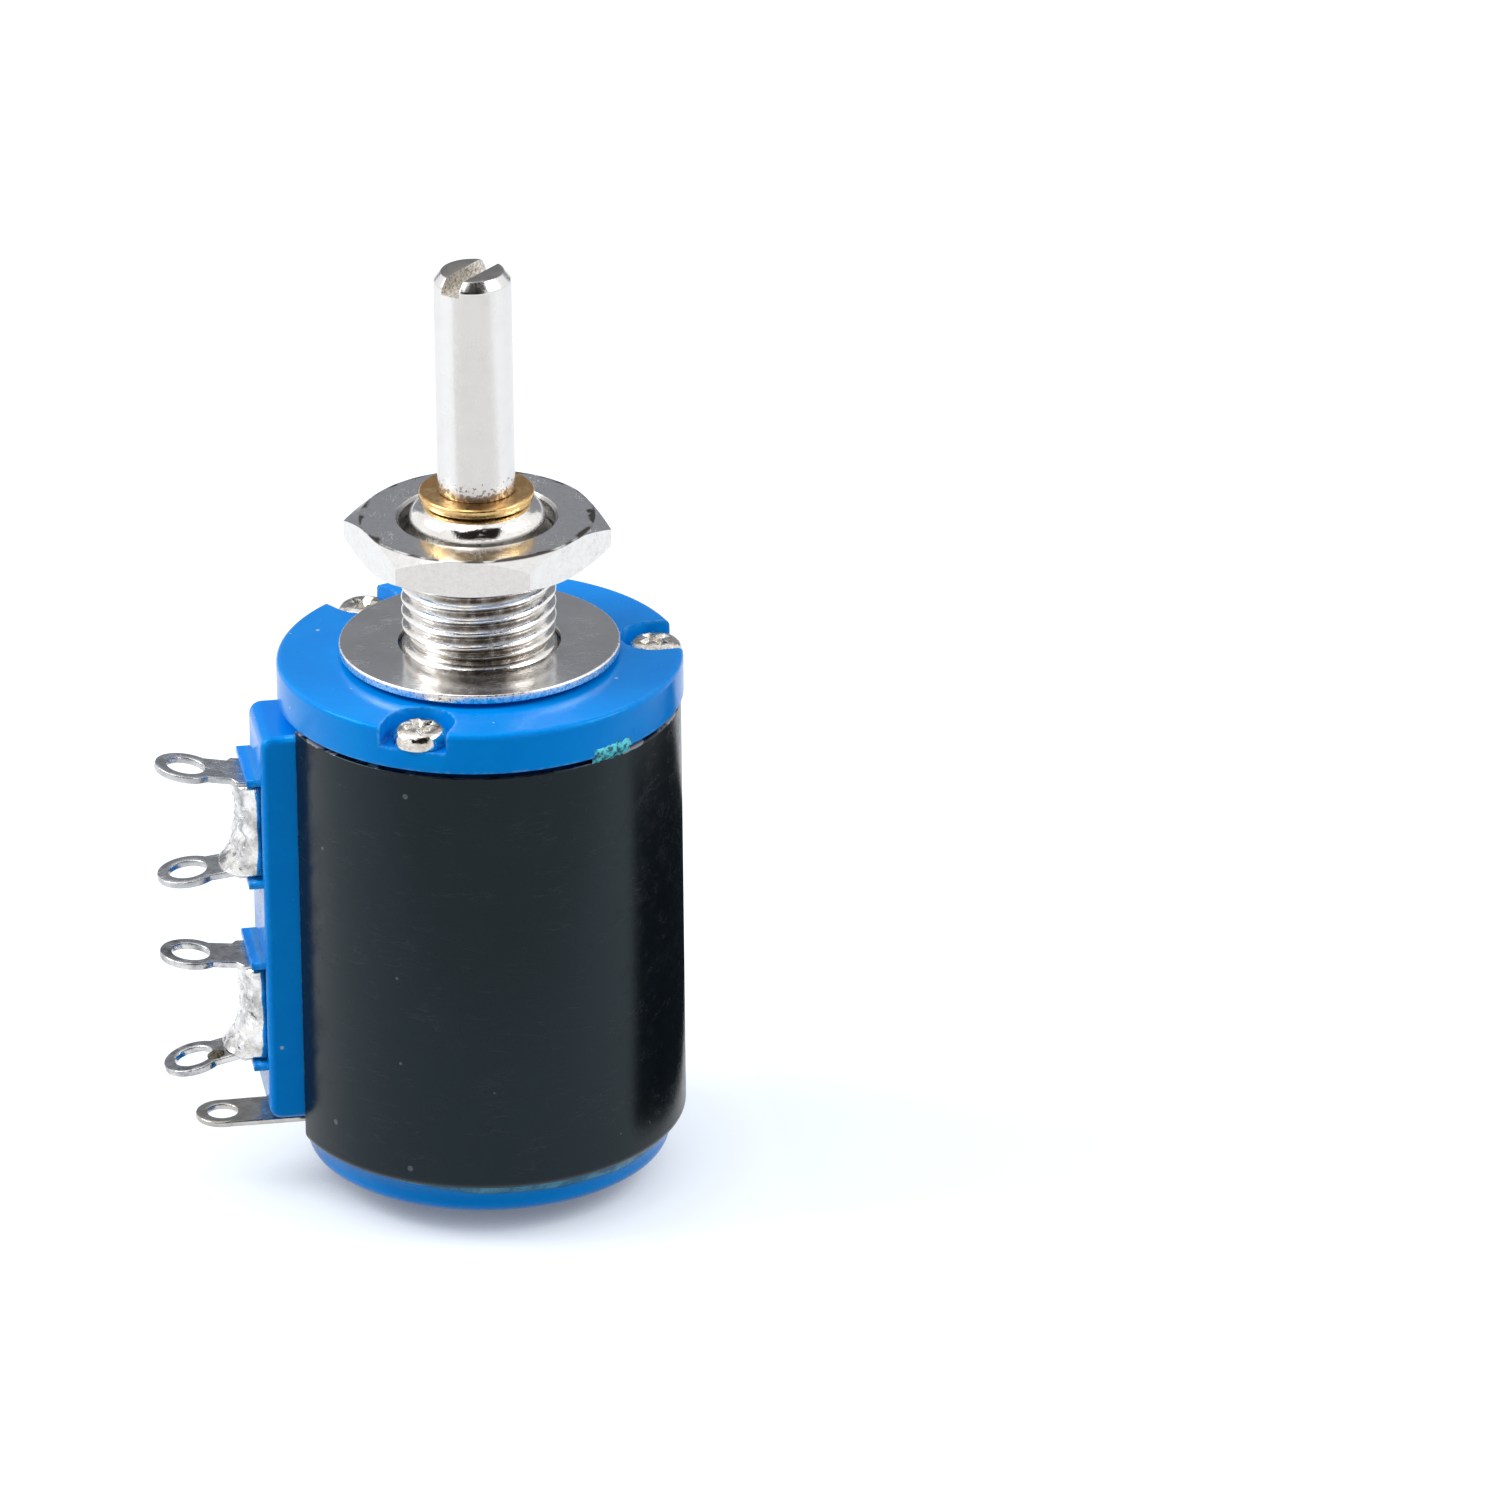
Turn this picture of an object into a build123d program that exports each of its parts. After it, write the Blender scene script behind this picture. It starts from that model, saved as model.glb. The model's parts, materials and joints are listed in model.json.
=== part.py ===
"""Ten-turn wire-wound potentiometer for panel mounting, in millimetres.

The origin is where the shaft's axis crosses the seat that the panel washer lies on.
+Z points out through the threaded bushing to the shaft's tip, and -X points to the
five solder terminals. The wiper stands at the middle of its travel.
"""

import math
import os

from build123d import *

os.makedirs("parts", exist_ok=True)

# --- Driving dimensions ---------------------------------------------------------------

# Threaded bushing and the pieces on it
thread_radius = 4.0  # M8 x 0.75
bushing_nose_z = 8.3
bushing_flange_radius = 6.0
bushing_flange_thickness = 0.95
washer_radius = 7.25
washer_thickness = 0.5
nut_across_flats = 12.0
nut_thickness = 2.0
nut_bottom_z = 5.4
nut_corner_angle = 45.0

nut_bore_clearance = 0.03

# Shaft
shaft_radius = 2.0
shaft_tip_z = 20.95
running_clearance = 0.03
driver_slot_width = 1.1
driver_slot_depth = 0.8
driver_slot_angle = 46.0
journal_radius = 1.5

# Front cap
cap_radius = 10.5
cap_thickness = 2.2
hub_height = 0.25
hub_radius = 6.5
screw_circle = 9.2
screw_turn = 2.7  # angle of the first screw from +X
screw_head_radius = 1.43
screw_thread_radius = 0.45
screw_hole_clearance = 0.05
pocket_radius = 1.8
pocket_depth = 1.1

# Case, sleeve and rear cap
case_radius = 9.72
case_bore = 7.9
case_length = 22.9
spigot_clearance = 0.05  # of both caps' spigots in the case
spigot_wall = 0.85
sleeve_radius = 10.35
sleeve_bore = 9.8
sleeve_bottom_z = -26.15
rear_disc_radius = 9.5
rear_disc_z = -27.9
rear_boss_radius = 5.2
rear_boss_height = 1.5

# Terminal rib on the case, and the terminals
rib_face_x = -11.78
rib_width = 5.2
ledge_reach = 0.75
ledge_width = 4.5
ledge_thickness = 0.4
sheet = 0.35
pair_height = 5.4
pair_tops_z = (-5.95, -16.35)
pair_tilts = ((10.5, -6.5), (6.5, -13.0))  # upper and lower lug of each pair, up is positive
lug_width = 3.2
lug_neck_width = 2.4
knee_reach = 0.85  # from the rib's face to where a lug starts to tilt
eye_reach = 2.8  # from there to the middle of its eye
eye_ring_radius = 1.6
eye_hole_radius = 1.0
wiper_strip_width = 2.8
wiper_strip_thickness = 0.3
wiper_eye_x = -14.0
wiper_eye_radius = 0.8

# Winding and its wiper
turns = 10
element_radius = 0.45
element_clearance = 0.03  # between the element and the case's bore
element_top_z = -6.6
element_bottom_z = -20.4
drum_radius = 6.2
drum_top_z = -4.0
drum_bottom_z = -22.9
drum_slot_width = 3.2
drum_slot_floor = 3.4

# --- Derived dimensions ---------------------------------------------------------------

cap_top_z = -hub_height
cap_bottom_z = cap_top_z - cap_thickness
case_bottom_z = cap_bottom_z - case_length
spigot_radius = case_bore - spigot_clearance
spigot_bore = spigot_radius - spigot_wall
pitch = (element_top_z - element_bottom_z) / turns
element_circle = case_bore - element_radius - element_clearance
travel_middle_z = (element_top_z + element_bottom_z) / 2
flange_bottom_z = cap_bottom_z - bushing_flange_thickness
cut_past = 1.0  # how far a cutting tool runs past the face it opens


# --- Front cap: moulded disc with three screw pockets open at its rim ------------------

cap_edge_round = 0.35
spigot_depth = 1.4

with BuildPart() as front_cap:
    with BuildSketch(Plane.XY.offset(cap_bottom_z)):
        Circle(cap_radius)
    extrude(amount=cap_thickness)
    fillet(front_cap.faces().sort_by(Axis.Z)[-1].edges(), cap_edge_round)
    # hub under the panel washer
    with BuildSketch(Plane.XY.offset(cap_top_z)):
        Circle(hub_radius)
    extrude(amount=hub_height)
    # ring that centres the cap in the case
    with BuildSketch(Plane.XY.offset(cap_bottom_z)):
        Circle(spigot_radius)
        Circle(spigot_bore, mode=Mode.SUBTRACT)
    extrude(amount=-spigot_depth)
    # U-shaped pockets for the screw heads
    with BuildSketch(Plane.XY.offset(cap_top_z - pocket_depth)):
        with PolarLocations(screw_circle, 3, start_angle=screw_turn):
            Circle(pocket_radius)
            Rectangle(cap_radius, 2 * pocket_radius, align=(Align.MIN, Align.CENTER))
    extrude(amount=pocket_depth + cut_past, mode=Mode.SUBTRACT)
    with BuildSketch(Plane.XY.offset(cap_bottom_z)):
        with PolarLocations(screw_circle, 3, start_angle=screw_turn):
            Circle(screw_thread_radius + screw_hole_clearance)
    extrude(amount=cap_thickness, mode=Mode.SUBTRACT)
    # bore for the bushing
    with BuildSketch(Plane.XY.offset(cap_bottom_z)):
        Circle(thread_radius)
    extrude(amount=cap_thickness + hub_height + cut_past, mode=Mode.SUBTRACT)
front_cap.part.label = "front_cap"
export_step(front_cap.part, "parts/front_cap.step")


# --- Cap screws: three alike, pan heads in the pockets ---------------------------------

screw_head_height = 0.95
screw_head_round = 0.45
screw_length = 5.0
screw_seat_z = cap_top_z - pocket_depth

with BuildPart() as cap_screws:
    with BuildSketch(Plane.XY.offset(screw_seat_z)):
        with PolarLocations(screw_circle, 3, start_angle=screw_turn):
            Circle(screw_head_radius)
    extrude(amount=screw_head_height)
    head_rims = cap_screws.faces().filter_by(Axis.Z).group_by(Axis.Z)[-1].edges()
    fillet(head_rims, screw_head_round)
    with BuildSketch(Plane.XY.offset(screw_seat_z)):
        with PolarLocations(screw_circle, 3, start_angle=screw_turn):
            Circle(screw_thread_radius)
    extrude(amount=-screw_length)
cap_screws.part.label = "cap_screws"
export_step(cap_screws.part, "parts/cap_screws.step")


# --- Bushing: turned, with a flange under the cap and a domed nose ---------------------

nose_radius = 3.55
nose_shoulder_z = 6.9
dome_start_z = 7.45
dome_top_radius = 2.95
dome_arc_radius = 0.9
relief_radius = 3.6
relief_top_z = 1.25
relief_bottom_z = 0.55
relief_taper = 0.1
thread_taper = 0.3  # where the thread runs out at either end
bushing_bore = shaft_radius + running_clearance

with BuildPart() as bushing:
    with BuildSketch(Plane.XZ):
        with BuildLine():
            Polyline(
                (dome_top_radius, bushing_nose_z),
                (bushing_bore, bushing_nose_z),
                (bushing_bore, flange_bottom_z),
                (bushing_flange_radius, flange_bottom_z),
                (bushing_flange_radius, cap_bottom_z),
                (thread_radius, cap_bottom_z),
                (thread_radius, relief_bottom_z),
                (relief_radius, relief_bottom_z + relief_taper),
                (relief_radius, relief_top_z - thread_taper),
                (thread_radius, relief_top_z),
                (thread_radius, nose_shoulder_z - thread_taper),
                (nose_radius, nose_shoulder_z),
                (nose_radius, dome_start_z),
            )
            RadiusArc(
                (nose_radius, dome_start_z), (dome_top_radius, bushing_nose_z), -dome_arc_radius
            )
        make_face()
    revolve(axis=Axis.Z)
bushing.part.label = "bushing"
export_step(bushing.part, "parts/bushing.step")


# --- Panel washer: lies loose on the cap's hub -----------------------------------------

washer_bore = thread_radius + 0.2
washer_edge_round = 0.12

with BuildPart() as panel_washer:
    with BuildSketch():
        Circle(washer_radius)
        Circle(washer_bore, mode=Mode.SUBTRACT)
    extrude(amount=washer_thickness)
    outer_edges = panel_washer.edges().filter_by(GeomType.CIRCLE).sort_by(SortBy.RADIUS)[-2:]
    fillet(outer_edges, washer_edge_round)
panel_washer.part.label = "panel_washer"
export_step(panel_washer.part, "parts/panel_washer.step")


# --- Panel nut: hexagon, both ends turned to a 30 degree chamfer ------------------------

nut_top_z = nut_bottom_z + nut_thickness
nut_corner_radius = nut_across_flats / 2 / math.cos(math.radians(30))
nut_face_radius = nut_across_flats / 2 - 0.1  # of the flat round face at either end
nut_chamfer_drop = (nut_corner_radius - nut_face_radius) * math.tan(math.radians(30))
nut_bore_chamfer = 0.2

with BuildPart() as panel_nut:
    with BuildSketch(Plane.XY.offset(nut_bottom_z)):
        RegularPolygon(nut_corner_radius, 6, rotation=nut_corner_angle)
    extrude(amount=nut_thickness)
    # chamfers of both ends
    with BuildSketch(Plane.XZ):
        with BuildLine():
            Polyline(
                (0, nut_bottom_z),
                (nut_face_radius, nut_bottom_z),
                (nut_corner_radius, nut_bottom_z + nut_chamfer_drop),
                (nut_corner_radius, nut_top_z - nut_chamfer_drop),
                (nut_face_radius, nut_top_z),
                (0, nut_top_z),
                close=True,
            )
        make_face()
    revolve(axis=Axis.Z, mode=Mode.INTERSECT)
    with BuildSketch(Plane.XY.offset(nut_bottom_z)):
        Circle(thread_radius + nut_bore_clearance)
    extrude(amount=nut_thickness, mode=Mode.SUBTRACT)
    bore_edges = panel_nut.edges().filter_by(GeomType.CIRCLE).sort_by(SortBy.RADIUS)[:2]
    chamfer(bore_edges, nut_bore_chamfer)
panel_nut.part.label = "panel_nut"
export_step(panel_nut.part, "parts/panel_nut.step")


# --- Shaft: one turned piece from the driver slot to the rear journal ------------------

clip_groove_bottom_z = bushing_nose_z + 0.1
clip_thickness = 0.5
clip_groove_top_z = clip_groove_bottom_z + clip_thickness
clip_groove_radius = 1.6
tip_chamfer = 0.4
tip_chamfer_height = 0.5
journal_bottom_z = -27.2
journal_chamfer = 0.2

with BuildPart() as shaft:
    with BuildSketch(Plane.XZ):
        with BuildLine():
            Polyline(
                (0, shaft_tip_z),
                (shaft_radius - tip_chamfer, shaft_tip_z),
                (shaft_radius, shaft_tip_z - tip_chamfer_height),
                (shaft_radius, clip_groove_top_z),
                (clip_groove_radius, clip_groove_top_z),
                (clip_groove_radius, clip_groove_bottom_z),
                (shaft_radius, clip_groove_bottom_z),
                (shaft_radius, drum_bottom_z),
                (journal_radius, drum_bottom_z),
                (journal_radius, journal_bottom_z + journal_chamfer),
                (journal_radius - journal_chamfer, journal_bottom_z),
                (0, journal_bottom_z),
                close=True,
            )
        make_face()
    revolve(axis=Axis.Z)
    # screwdriver slot across the tip
    with BuildSketch(Plane.XY.offset(shaft_tip_z - driver_slot_depth)):
        Rectangle(3 * shaft_radius, driver_slot_width, rotation=driver_slot_angle)
    extrude(amount=driver_slot_depth + cut_past, mode=Mode.SUBTRACT)
shaft.part.label = "shaft"
export_step(shaft.part, "parts/shaft.step")


# --- Retaining clip: open ring sprung into the shaft's groove --------------------------

clip_radius = 2.99
clip_gap = 1.3
clip_gap_angle = 81.0
clip_edge_round = 0.1

with BuildPart() as retaining_clip:
    with BuildSketch(Plane.XY.offset(clip_groove_bottom_z)):
        Circle(clip_radius)
        Circle(clip_groove_radius, mode=Mode.SUBTRACT)
        with Locations(Rot(0, 0, clip_gap_angle)):
            Rectangle(2 * clip_radius, clip_gap, align=(Align.MIN, Align.CENTER), mode=Mode.SUBTRACT)
    extrude(amount=clip_thickness)
    clip_rims = retaining_clip.edges().filter_by(GeomType.CIRCLE).group_by(SortBy.RADIUS)[-1]
    fillet(clip_rims, clip_edge_round)
retaining_clip.part.label = "retaining_clip"
export_step(retaining_clip.part, "parts/retaining_clip.step")


# --- Winding case: moulded tube with the terminal rib along its side -------------------

rib_top_z = -3.15
rib_bottom_z = -24.85
rib_round = 0.65
rib_edge_round = 0.35
ledge_tops_z = []
for pair_top in pair_tops_z:
    ledge_tops_z.append(pair_top + ledge_thickness)
    ledge_tops_z.append(pair_top - pair_height)

tail_width = 1.2
tail_tops_z = (element_top_z + sheet / 2, element_bottom_z + sheet / 2)
tail_clearance = 0.03
tail_slit_end = case_bore - 1.0  # distance from the axis, inside the bore

with BuildPart() as winding_case:
    with BuildSketch(Plane.XY.offset(case_bottom_z)):
        Circle(case_radius)
    extrude(amount=case_length)
    # terminal rib with its outer corners rounded
    with BuildSketch(Plane.XZ):
        with BuildLine():
            FilletPolyline(
                (-case_bore, rib_top_z),
                (rib_face_x, rib_top_z),
                (rib_face_x, rib_bottom_z),
                (-case_bore, rib_bottom_z),
                radius=rib_round,
            )
            Line((-case_bore, rib_bottom_z), (-case_bore, rib_top_z))
        make_face()
    extrude(amount=rib_width / 2, both=True)
    fillet(winding_case.edges().filter_by(Axis.Z).group_by(Axis.X)[0], rib_edge_round)
    # ledges above and below each pair of terminals
    with BuildSketch(Plane.XZ):
        for ledge_top in ledge_tops_z:
            with Locations((rib_face_x - ledge_reach, ledge_top)):
                Rectangle(2 * ledge_reach, ledge_thickness, align=(Align.MIN, Align.MAX))
    extrude(amount=ledge_width / 2, both=True)
    # bore that holds the winding
    with BuildSketch(Plane.XY.offset(case_bottom_z)):
        Circle(case_bore)
    extrude(amount=case_length, mode=Mode.SUBTRACT)
    # pilot holes of the cap screws
    with BuildSketch(Plane.XY.offset(screw_seat_z - screw_length)):
        with PolarLocations(screw_circle, 3, start_angle=screw_turn):
            Circle(screw_thread_radius)
    extrude(amount=screw_length, mode=Mode.SUBTRACT)
    # slits for the terminals' tails
    with BuildSketch(Plane.YZ.offset(rib_face_x - cut_past)):
        for tail_top in tail_tops_z:
            with Locations((0, tail_top + tail_clearance)):
                Rectangle(
                    tail_width + 2 * tail_clearance,
                    sheet + 2 * tail_clearance,
                    align=(Align.CENTER, Align.MAX),
                )
    extrude(amount=cut_past - rib_face_x - tail_slit_end, mode=Mode.SUBTRACT)
winding_case.part.label = "winding_case"
export_step(winding_case.part, "parts/winding_case.step")


# --- Sleeve: thin tube round the case, its end rolled in over the rear cap -------------

sleeve_top_z = cap_bottom_z - 0.15
sleeve_roll_radius = 0.5
sleeve_lip_bore = 9.56
sleeve_lip_thickness = 0.22
rib_clearance = 0.1

with BuildPart() as sleeve:
    with BuildSketch(Plane.XZ):
        with BuildLine():
            Polyline(
                (sleeve_bore, sleeve_top_z),
                (sleeve_radius, sleeve_top_z),
                (sleeve_radius, sleeve_bottom_z),
                (sleeve_lip_bore, sleeve_bottom_z),
                (sleeve_lip_bore, sleeve_bottom_z + sleeve_lip_thickness),
                (sleeve_bore, sleeve_bottom_z + sleeve_lip_thickness),
                close=True,
            )
        make_face()
    revolve(axis=Axis.Z)
    roll_edge = sleeve.edges().filter_by(GeomType.CIRCLE).group_by(Axis.Z)[0].sort_by(SortBy.RADIUS)[-1]
    fillet(roll_edge, sleeve_roll_radius)
    # slot that the terminal rib stands in, open at both ends
    with BuildSketch(Plane.YZ):
        with Locations((0, sleeve_bottom_z - cut_past)):
            Rectangle(
                rib_width + 2 * rib_clearance,
                sleeve_top_z - sleeve_bottom_z + 2 * cut_past,
                align=(Align.CENTER, Align.MIN),
            )
    extrude(amount=-sleeve_radius - cut_past, mode=Mode.SUBTRACT)
sleeve.part.label = "sleeve"
export_step(sleeve.part, "parts/sleeve.step")


# --- Rear cap: disc with a round boss outside and the bearing's seat inside ------------

rear_rebate_radius = 9.68
rear_rebate_z = -25.9
rear_floor_z = -26.0
rear_spigot_top_z = -23.3
bearing_radius = 3.0
bearing_seat_z = -27.4
journal_pocket_z = -28.0
journal_pocket_radius = journal_radius + 0.3
rear_boss_z = rear_disc_z - rear_boss_height
rear_disc_round = 0.7
rear_boss_round = 0.45
rear_boss_foot_round = 0.4
strip_groove_width = wiper_strip_width + 0.1
strip_groove_height = wiper_strip_thickness + rear_spigot_top_z - case_bottom_z

with BuildPart() as rear_cap:
    with BuildSketch(Plane.XZ):
        with BuildLine():
            Polyline(
                (0, journal_pocket_z),
                (journal_pocket_radius, journal_pocket_z),
                (journal_pocket_radius, bearing_seat_z),
                (bearing_radius, bearing_seat_z),
                (bearing_radius, rear_floor_z),
                (spigot_bore, rear_floor_z),
                (spigot_bore, rear_spigot_top_z),
                (spigot_radius, rear_spigot_top_z),
                (spigot_radius, case_bottom_z),
                (rear_rebate_radius, case_bottom_z),
                (rear_rebate_radius, rear_rebate_z),
                (rear_disc_radius, rear_rebate_z),
                (rear_disc_radius, rear_disc_z),
                (rear_boss_radius, rear_disc_z),
                (rear_boss_radius, rear_boss_z),
                (0, rear_boss_z),
                close=True,
            )
        make_face()
    revolve(axis=Axis.Z)
    disc_edges = rear_cap.edges().filter_by(GeomType.CIRCLE)
    disc_rim = disc_edges.filter_by_position(Axis.Z, rear_disc_z - 0.01, rear_disc_z + 0.01)
    fillet(disc_rim.sort_by(SortBy.RADIUS)[-1], rear_disc_round)
    fillet(disc_rim.sort_by(SortBy.RADIUS)[0], rear_boss_foot_round)
    boss_rim = rear_cap.edges().filter_by(GeomType.CIRCLE).group_by(Axis.Z)[0]
    fillet(boss_rim, rear_boss_round)
    # groove that lets the wiper's strip out
    with BuildSketch(Plane.YZ):
        with Locations((0, case_bottom_z - wiper_strip_thickness)):
            Rectangle(strip_groove_width, strip_groove_height, align=(Align.CENTER, Align.MIN))
    extrude(amount=-cap_radius, mode=Mode.SUBTRACT)
rear_cap.part.label = "rear_cap"
export_step(rear_cap.part, "parts/rear_cap.step")


# --- Rear bearing: plain bush pressed into the rear cap --------------------------------

bearing_length = 2.0

with BuildPart() as rear_bearing:
    with BuildSketch(Plane.XY.offset(bearing_seat_z)):
        Circle(bearing_radius)
        Circle(journal_radius + running_clearance, mode=Mode.SUBTRACT)
    extrude(amount=bearing_length)
rear_bearing.part.label = "rear_bearing"
export_step(rear_bearing.part, "parts/rear_bearing.step")


# --- Terminal pairs: each is one stamping folded to a C, with a lug at either end ------

bend_radius = 0.6
knee_bend = 1.2
tail_tip_x = -element_circle - element_radius
lug_length = eye_reach + eye_ring_radius
root_reach = 0.4
knee_x = rib_face_x - knee_reach


def lug_plane(z, tilt):
    """Plane of one lug: origin where it starts to tilt, X outward, Z up."""
    angle = math.radians(tilt)
    outward = (-math.cos(angle), 0, math.sin(angle))
    upward = (math.sin(angle), 0, math.cos(angle))
    return Plane(origin=(knee_x, 0, z), x_dir=outward, z_dir=upward)


def lug_end(z, tilt):
    """Tip of a lug's centre line in the XZ plane."""
    angle = math.radians(tilt)
    return (knee_x - lug_length * math.cos(angle), z + lug_length * math.sin(angle))


def terminal_pair(top_z, tilts, tail_top_z):
    """One C-shaped stamping whose upper face starts at top_z, with its tail."""
    bottom_z = top_z - pair_height
    with BuildPart() as pair:
        with BuildSketch(Plane.XZ):
            with BuildLine():
                FilletPolyline(
                    lug_end(top_z, tilts[0]),
                    (knee_x, top_z),
                    (rib_face_x, top_z),
                    (rib_face_x, bottom_z),
                    (knee_x, bottom_z),
                    lug_end(bottom_z, tilts[1]),
                    radius=(knee_bend, bend_radius, bend_radius, knee_bend),
                )
                offset(amount=sheet, side=Side.RIGHT)
            make_face()
        extrude(amount=lug_width / 2, both=True)
        # outline and eye of each lug
        for z, tilt in ((top_z, tilts[0]), (bottom_z, tilts[1])):
            with BuildSketch(lug_plane(z, tilt)):
                with Locations((root_reach, 0)):
                    Rectangle(lug_length, 2 * lug_width, align=(Align.MIN, Align.CENTER))
                    Rectangle(
                        eye_reach - root_reach,
                        lug_neck_width,
                        align=(Align.MIN, Align.CENTER),
                        mode=Mode.SUBTRACT,
                    )
                with Locations((eye_reach, 0)):
                    Circle(eye_ring_radius, mode=Mode.SUBTRACT)
                    Circle(eye_hole_radius)
            extrude(amount=2 * sheet, both=True, mode=Mode.SUBTRACT)
        # tail through the rib to the end of the winding
        with BuildSketch(Plane.YZ.offset(rib_face_x - sheet / 2)):
            with Locations((0, tail_top_z)):
                Rectangle(tail_width, sheet, align=(Align.CENTER, Align.MAX))
        extrude(amount=tail_tip_x - rib_face_x + sheet / 2)
    return pair.part


terminal_pair_front = terminal_pair(pair_tops_z[0], pair_tilts[0], tail_tops_z[0])
terminal_pair_front.label = "terminal_pair_front"
export_step(terminal_pair_front, "parts/terminal_pair_front.step")

terminal_pair_rear = terminal_pair(pair_tops_z[1], pair_tilts[1], tail_tops_z[1])
terminal_pair_rear.label = "terminal_pair_rear"
export_step(terminal_pair_rear, "parts/terminal_pair_rear.step")


# --- Solder: fills the inside of each folded pair, hollow towards its open side --------

solder_mid_thickness = 0.8
solder_end_thickness = 1.95
solder_half_width = lug_width / 2


def solder_fill(top_z, tilts):
    """Solder between the two lugs of the pair whose upper face starts at top_z."""
    web_x = rib_face_x - sheet
    end_x = web_x - solder_end_thickness
    upper_in = top_z - sheet
    lower_in = top_z - pair_height + sheet
    # where the inner faces of the lugs start to tilt
    upper_slope = math.radians(tilts[0])
    lower_slope = math.radians(tilts[1])
    upper_knee = knee_x - sheet * math.tan(upper_slope / 2)
    lower_knee = knee_x + sheet * math.tan(lower_slope / 2)
    upper_end = (end_x, upper_in + (upper_knee - end_x) * math.tan(upper_slope))
    lower_end = (end_x, lower_in + (lower_knee - end_x) * math.tan(lower_slope))
    with BuildPart() as fill:
        with BuildSketch(Plane.XZ):
            with BuildLine():
                Polyline(
                    upper_end,
                    (upper_knee, upper_in),
                    (web_x - bend_radius, upper_in),
                    (web_x, upper_in - bend_radius),
                    (web_x, lower_in + bend_radius),
                    (web_x - bend_radius, lower_in),
                    (lower_knee, lower_in),
                    lower_end,
                )
                middle_z = (upper_in + lower_in) / 2
                ThreePointArc(lower_end, (web_x - solder_mid_thickness, middle_z), upper_end)
            make_face()
        extrude(amount=solder_half_width, both=True)
    return fill.part


solder_front = solder_fill(pair_tops_z[0], pair_tilts[0])
solder_front.label = "solder_front"
export_step(solder_front, "parts/solder_front.step")

solder_rear = solder_fill(pair_tops_z[1], pair_tilts[1])
solder_rear.label = "solder_rear"
export_step(solder_rear, "parts/solder_rear.step")


# --- Wiper terminal: flat strip out between the case and the rear cap ------------------

strip_inner_x = -4.4
strip_tip_radius = wiper_strip_width / 2

with BuildPart() as terminal_wiper:
    with BuildSketch(Plane.XY.offset(case_bottom_z - wiper_strip_thickness)):
        with Locations((wiper_eye_x, 0)):
            Circle(strip_tip_radius)
            Rectangle(
                strip_inner_x - wiper_eye_x,
                wiper_strip_width,
                align=(Align.MIN, Align.CENTER),
            )
            Circle(wiper_eye_radius, mode=Mode.SUBTRACT)
    extrude(amount=wiper_strip_thickness)
terminal_wiper.part.label = "terminal_wiper"
export_step(terminal_wiper.part, "parts/terminal_wiper.step")


# --- Collector brush: leaf on the strip, its tip under the collector ring --------------

brush_thickness = 0.2
brush_width = 1.2
ring_thickness = 0.3
ring_bottom_z = drum_bottom_z - ring_thickness
brush_gap = 0.06
brush_foot_x = -4.7
brush_heel_x = -6.3
brush_shoulder_x = -5.2
brush_tip_x = -4.0
brush_bend = 0.3
brush_tip_z = ring_bottom_z - brush_gap - brush_thickness

with BuildPart() as collector_brush:
    with BuildSketch(Plane.XZ):
        with BuildLine() as leaf:
            FilletPolyline(
                (brush_foot_x, case_bottom_z),
                (brush_heel_x, case_bottom_z),
                (brush_shoulder_x, brush_tip_z),
                (brush_tip_x, brush_tip_z),
                radius=brush_bend,
            )
            offset(amount=brush_thickness, side=Side.RIGHT)
        make_face()
    extrude(amount=brush_width / 2, both=True)
collector_brush.part.label = "collector_brush"
export_step(collector_brush.part, "parts/collector_brush.step")


# --- Resistance element: wire-wound mandrel coiled ten times on the case's bore --------

element_sides = 8  # flats that the mandrel's round section is drawn with

with BuildPart() as coil:
    with BuildLine() as coil_path:
        Helix(pitch=pitch, height=pitch * turns, radius=element_circle, center=(0, 0, element_bottom_z))
    with BuildSketch(Plane(origin=coil_path.line @ 0, x_dir=(0, 0, 1), z_dir=coil_path.line % 0)):
        RegularPolygon(element_radius, element_sides)
    sweep(is_frenet=True)
# both ends turned to the terminals' side
resistance_element = coil.part.rotate(Axis.Z, 180)
resistance_element.label = "resistance_element"
export_step(resistance_element, "parts/resistance_element.step")


# --- Rotor drum: moulded on the shaft, with the slot that the wiper carrier slides in --

drum_slot_end_wall = 0.45
drum_slot_bottom_z = drum_bottom_z + drum_slot_end_wall
drum_slot_height = drum_top_z - drum_bottom_z - 2 * drum_slot_end_wall

with BuildPart() as rotor_drum:
    with BuildSketch(Plane.XY.offset(drum_bottom_z)):
        Circle(drum_radius)
        Circle(shaft_radius, mode=Mode.SUBTRACT)
    extrude(amount=drum_top_z - drum_bottom_z)
    with BuildSketch(Plane.XY.offset(drum_slot_bottom_z)):
        with Locations((-drum_slot_floor, 0)):
            Rectangle(drum_radius, drum_slot_width, align=(Align.MAX, Align.CENTER))
    extrude(amount=drum_slot_height, mode=Mode.SUBTRACT)
rotor_drum.part.label = "rotor_drum"
export_step(rotor_drum.part, "parts/rotor_drum.step")


# --- Contact rail: brass strip along the floor of the drum's slot ----------------------

rail_thickness = 0.3
rail_width = 1.4

with BuildPart() as contact_rail:
    with BuildSketch(Plane.XY.offset(drum_slot_bottom_z)):
        with Locations((-drum_slot_floor, 0)):
            Rectangle(rail_thickness, rail_width, align=(Align.MAX, Align.CENTER))
    extrude(amount=drum_slot_height)
contact_rail.part.label = "contact_rail"
export_step(contact_rail.part, "parts/contact_rail.step")


# --- Collector ring: brass ring on the drum's rear face --------------------------------

ring_outer_radius = 5.2
ring_inner_radius = 3.4

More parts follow.
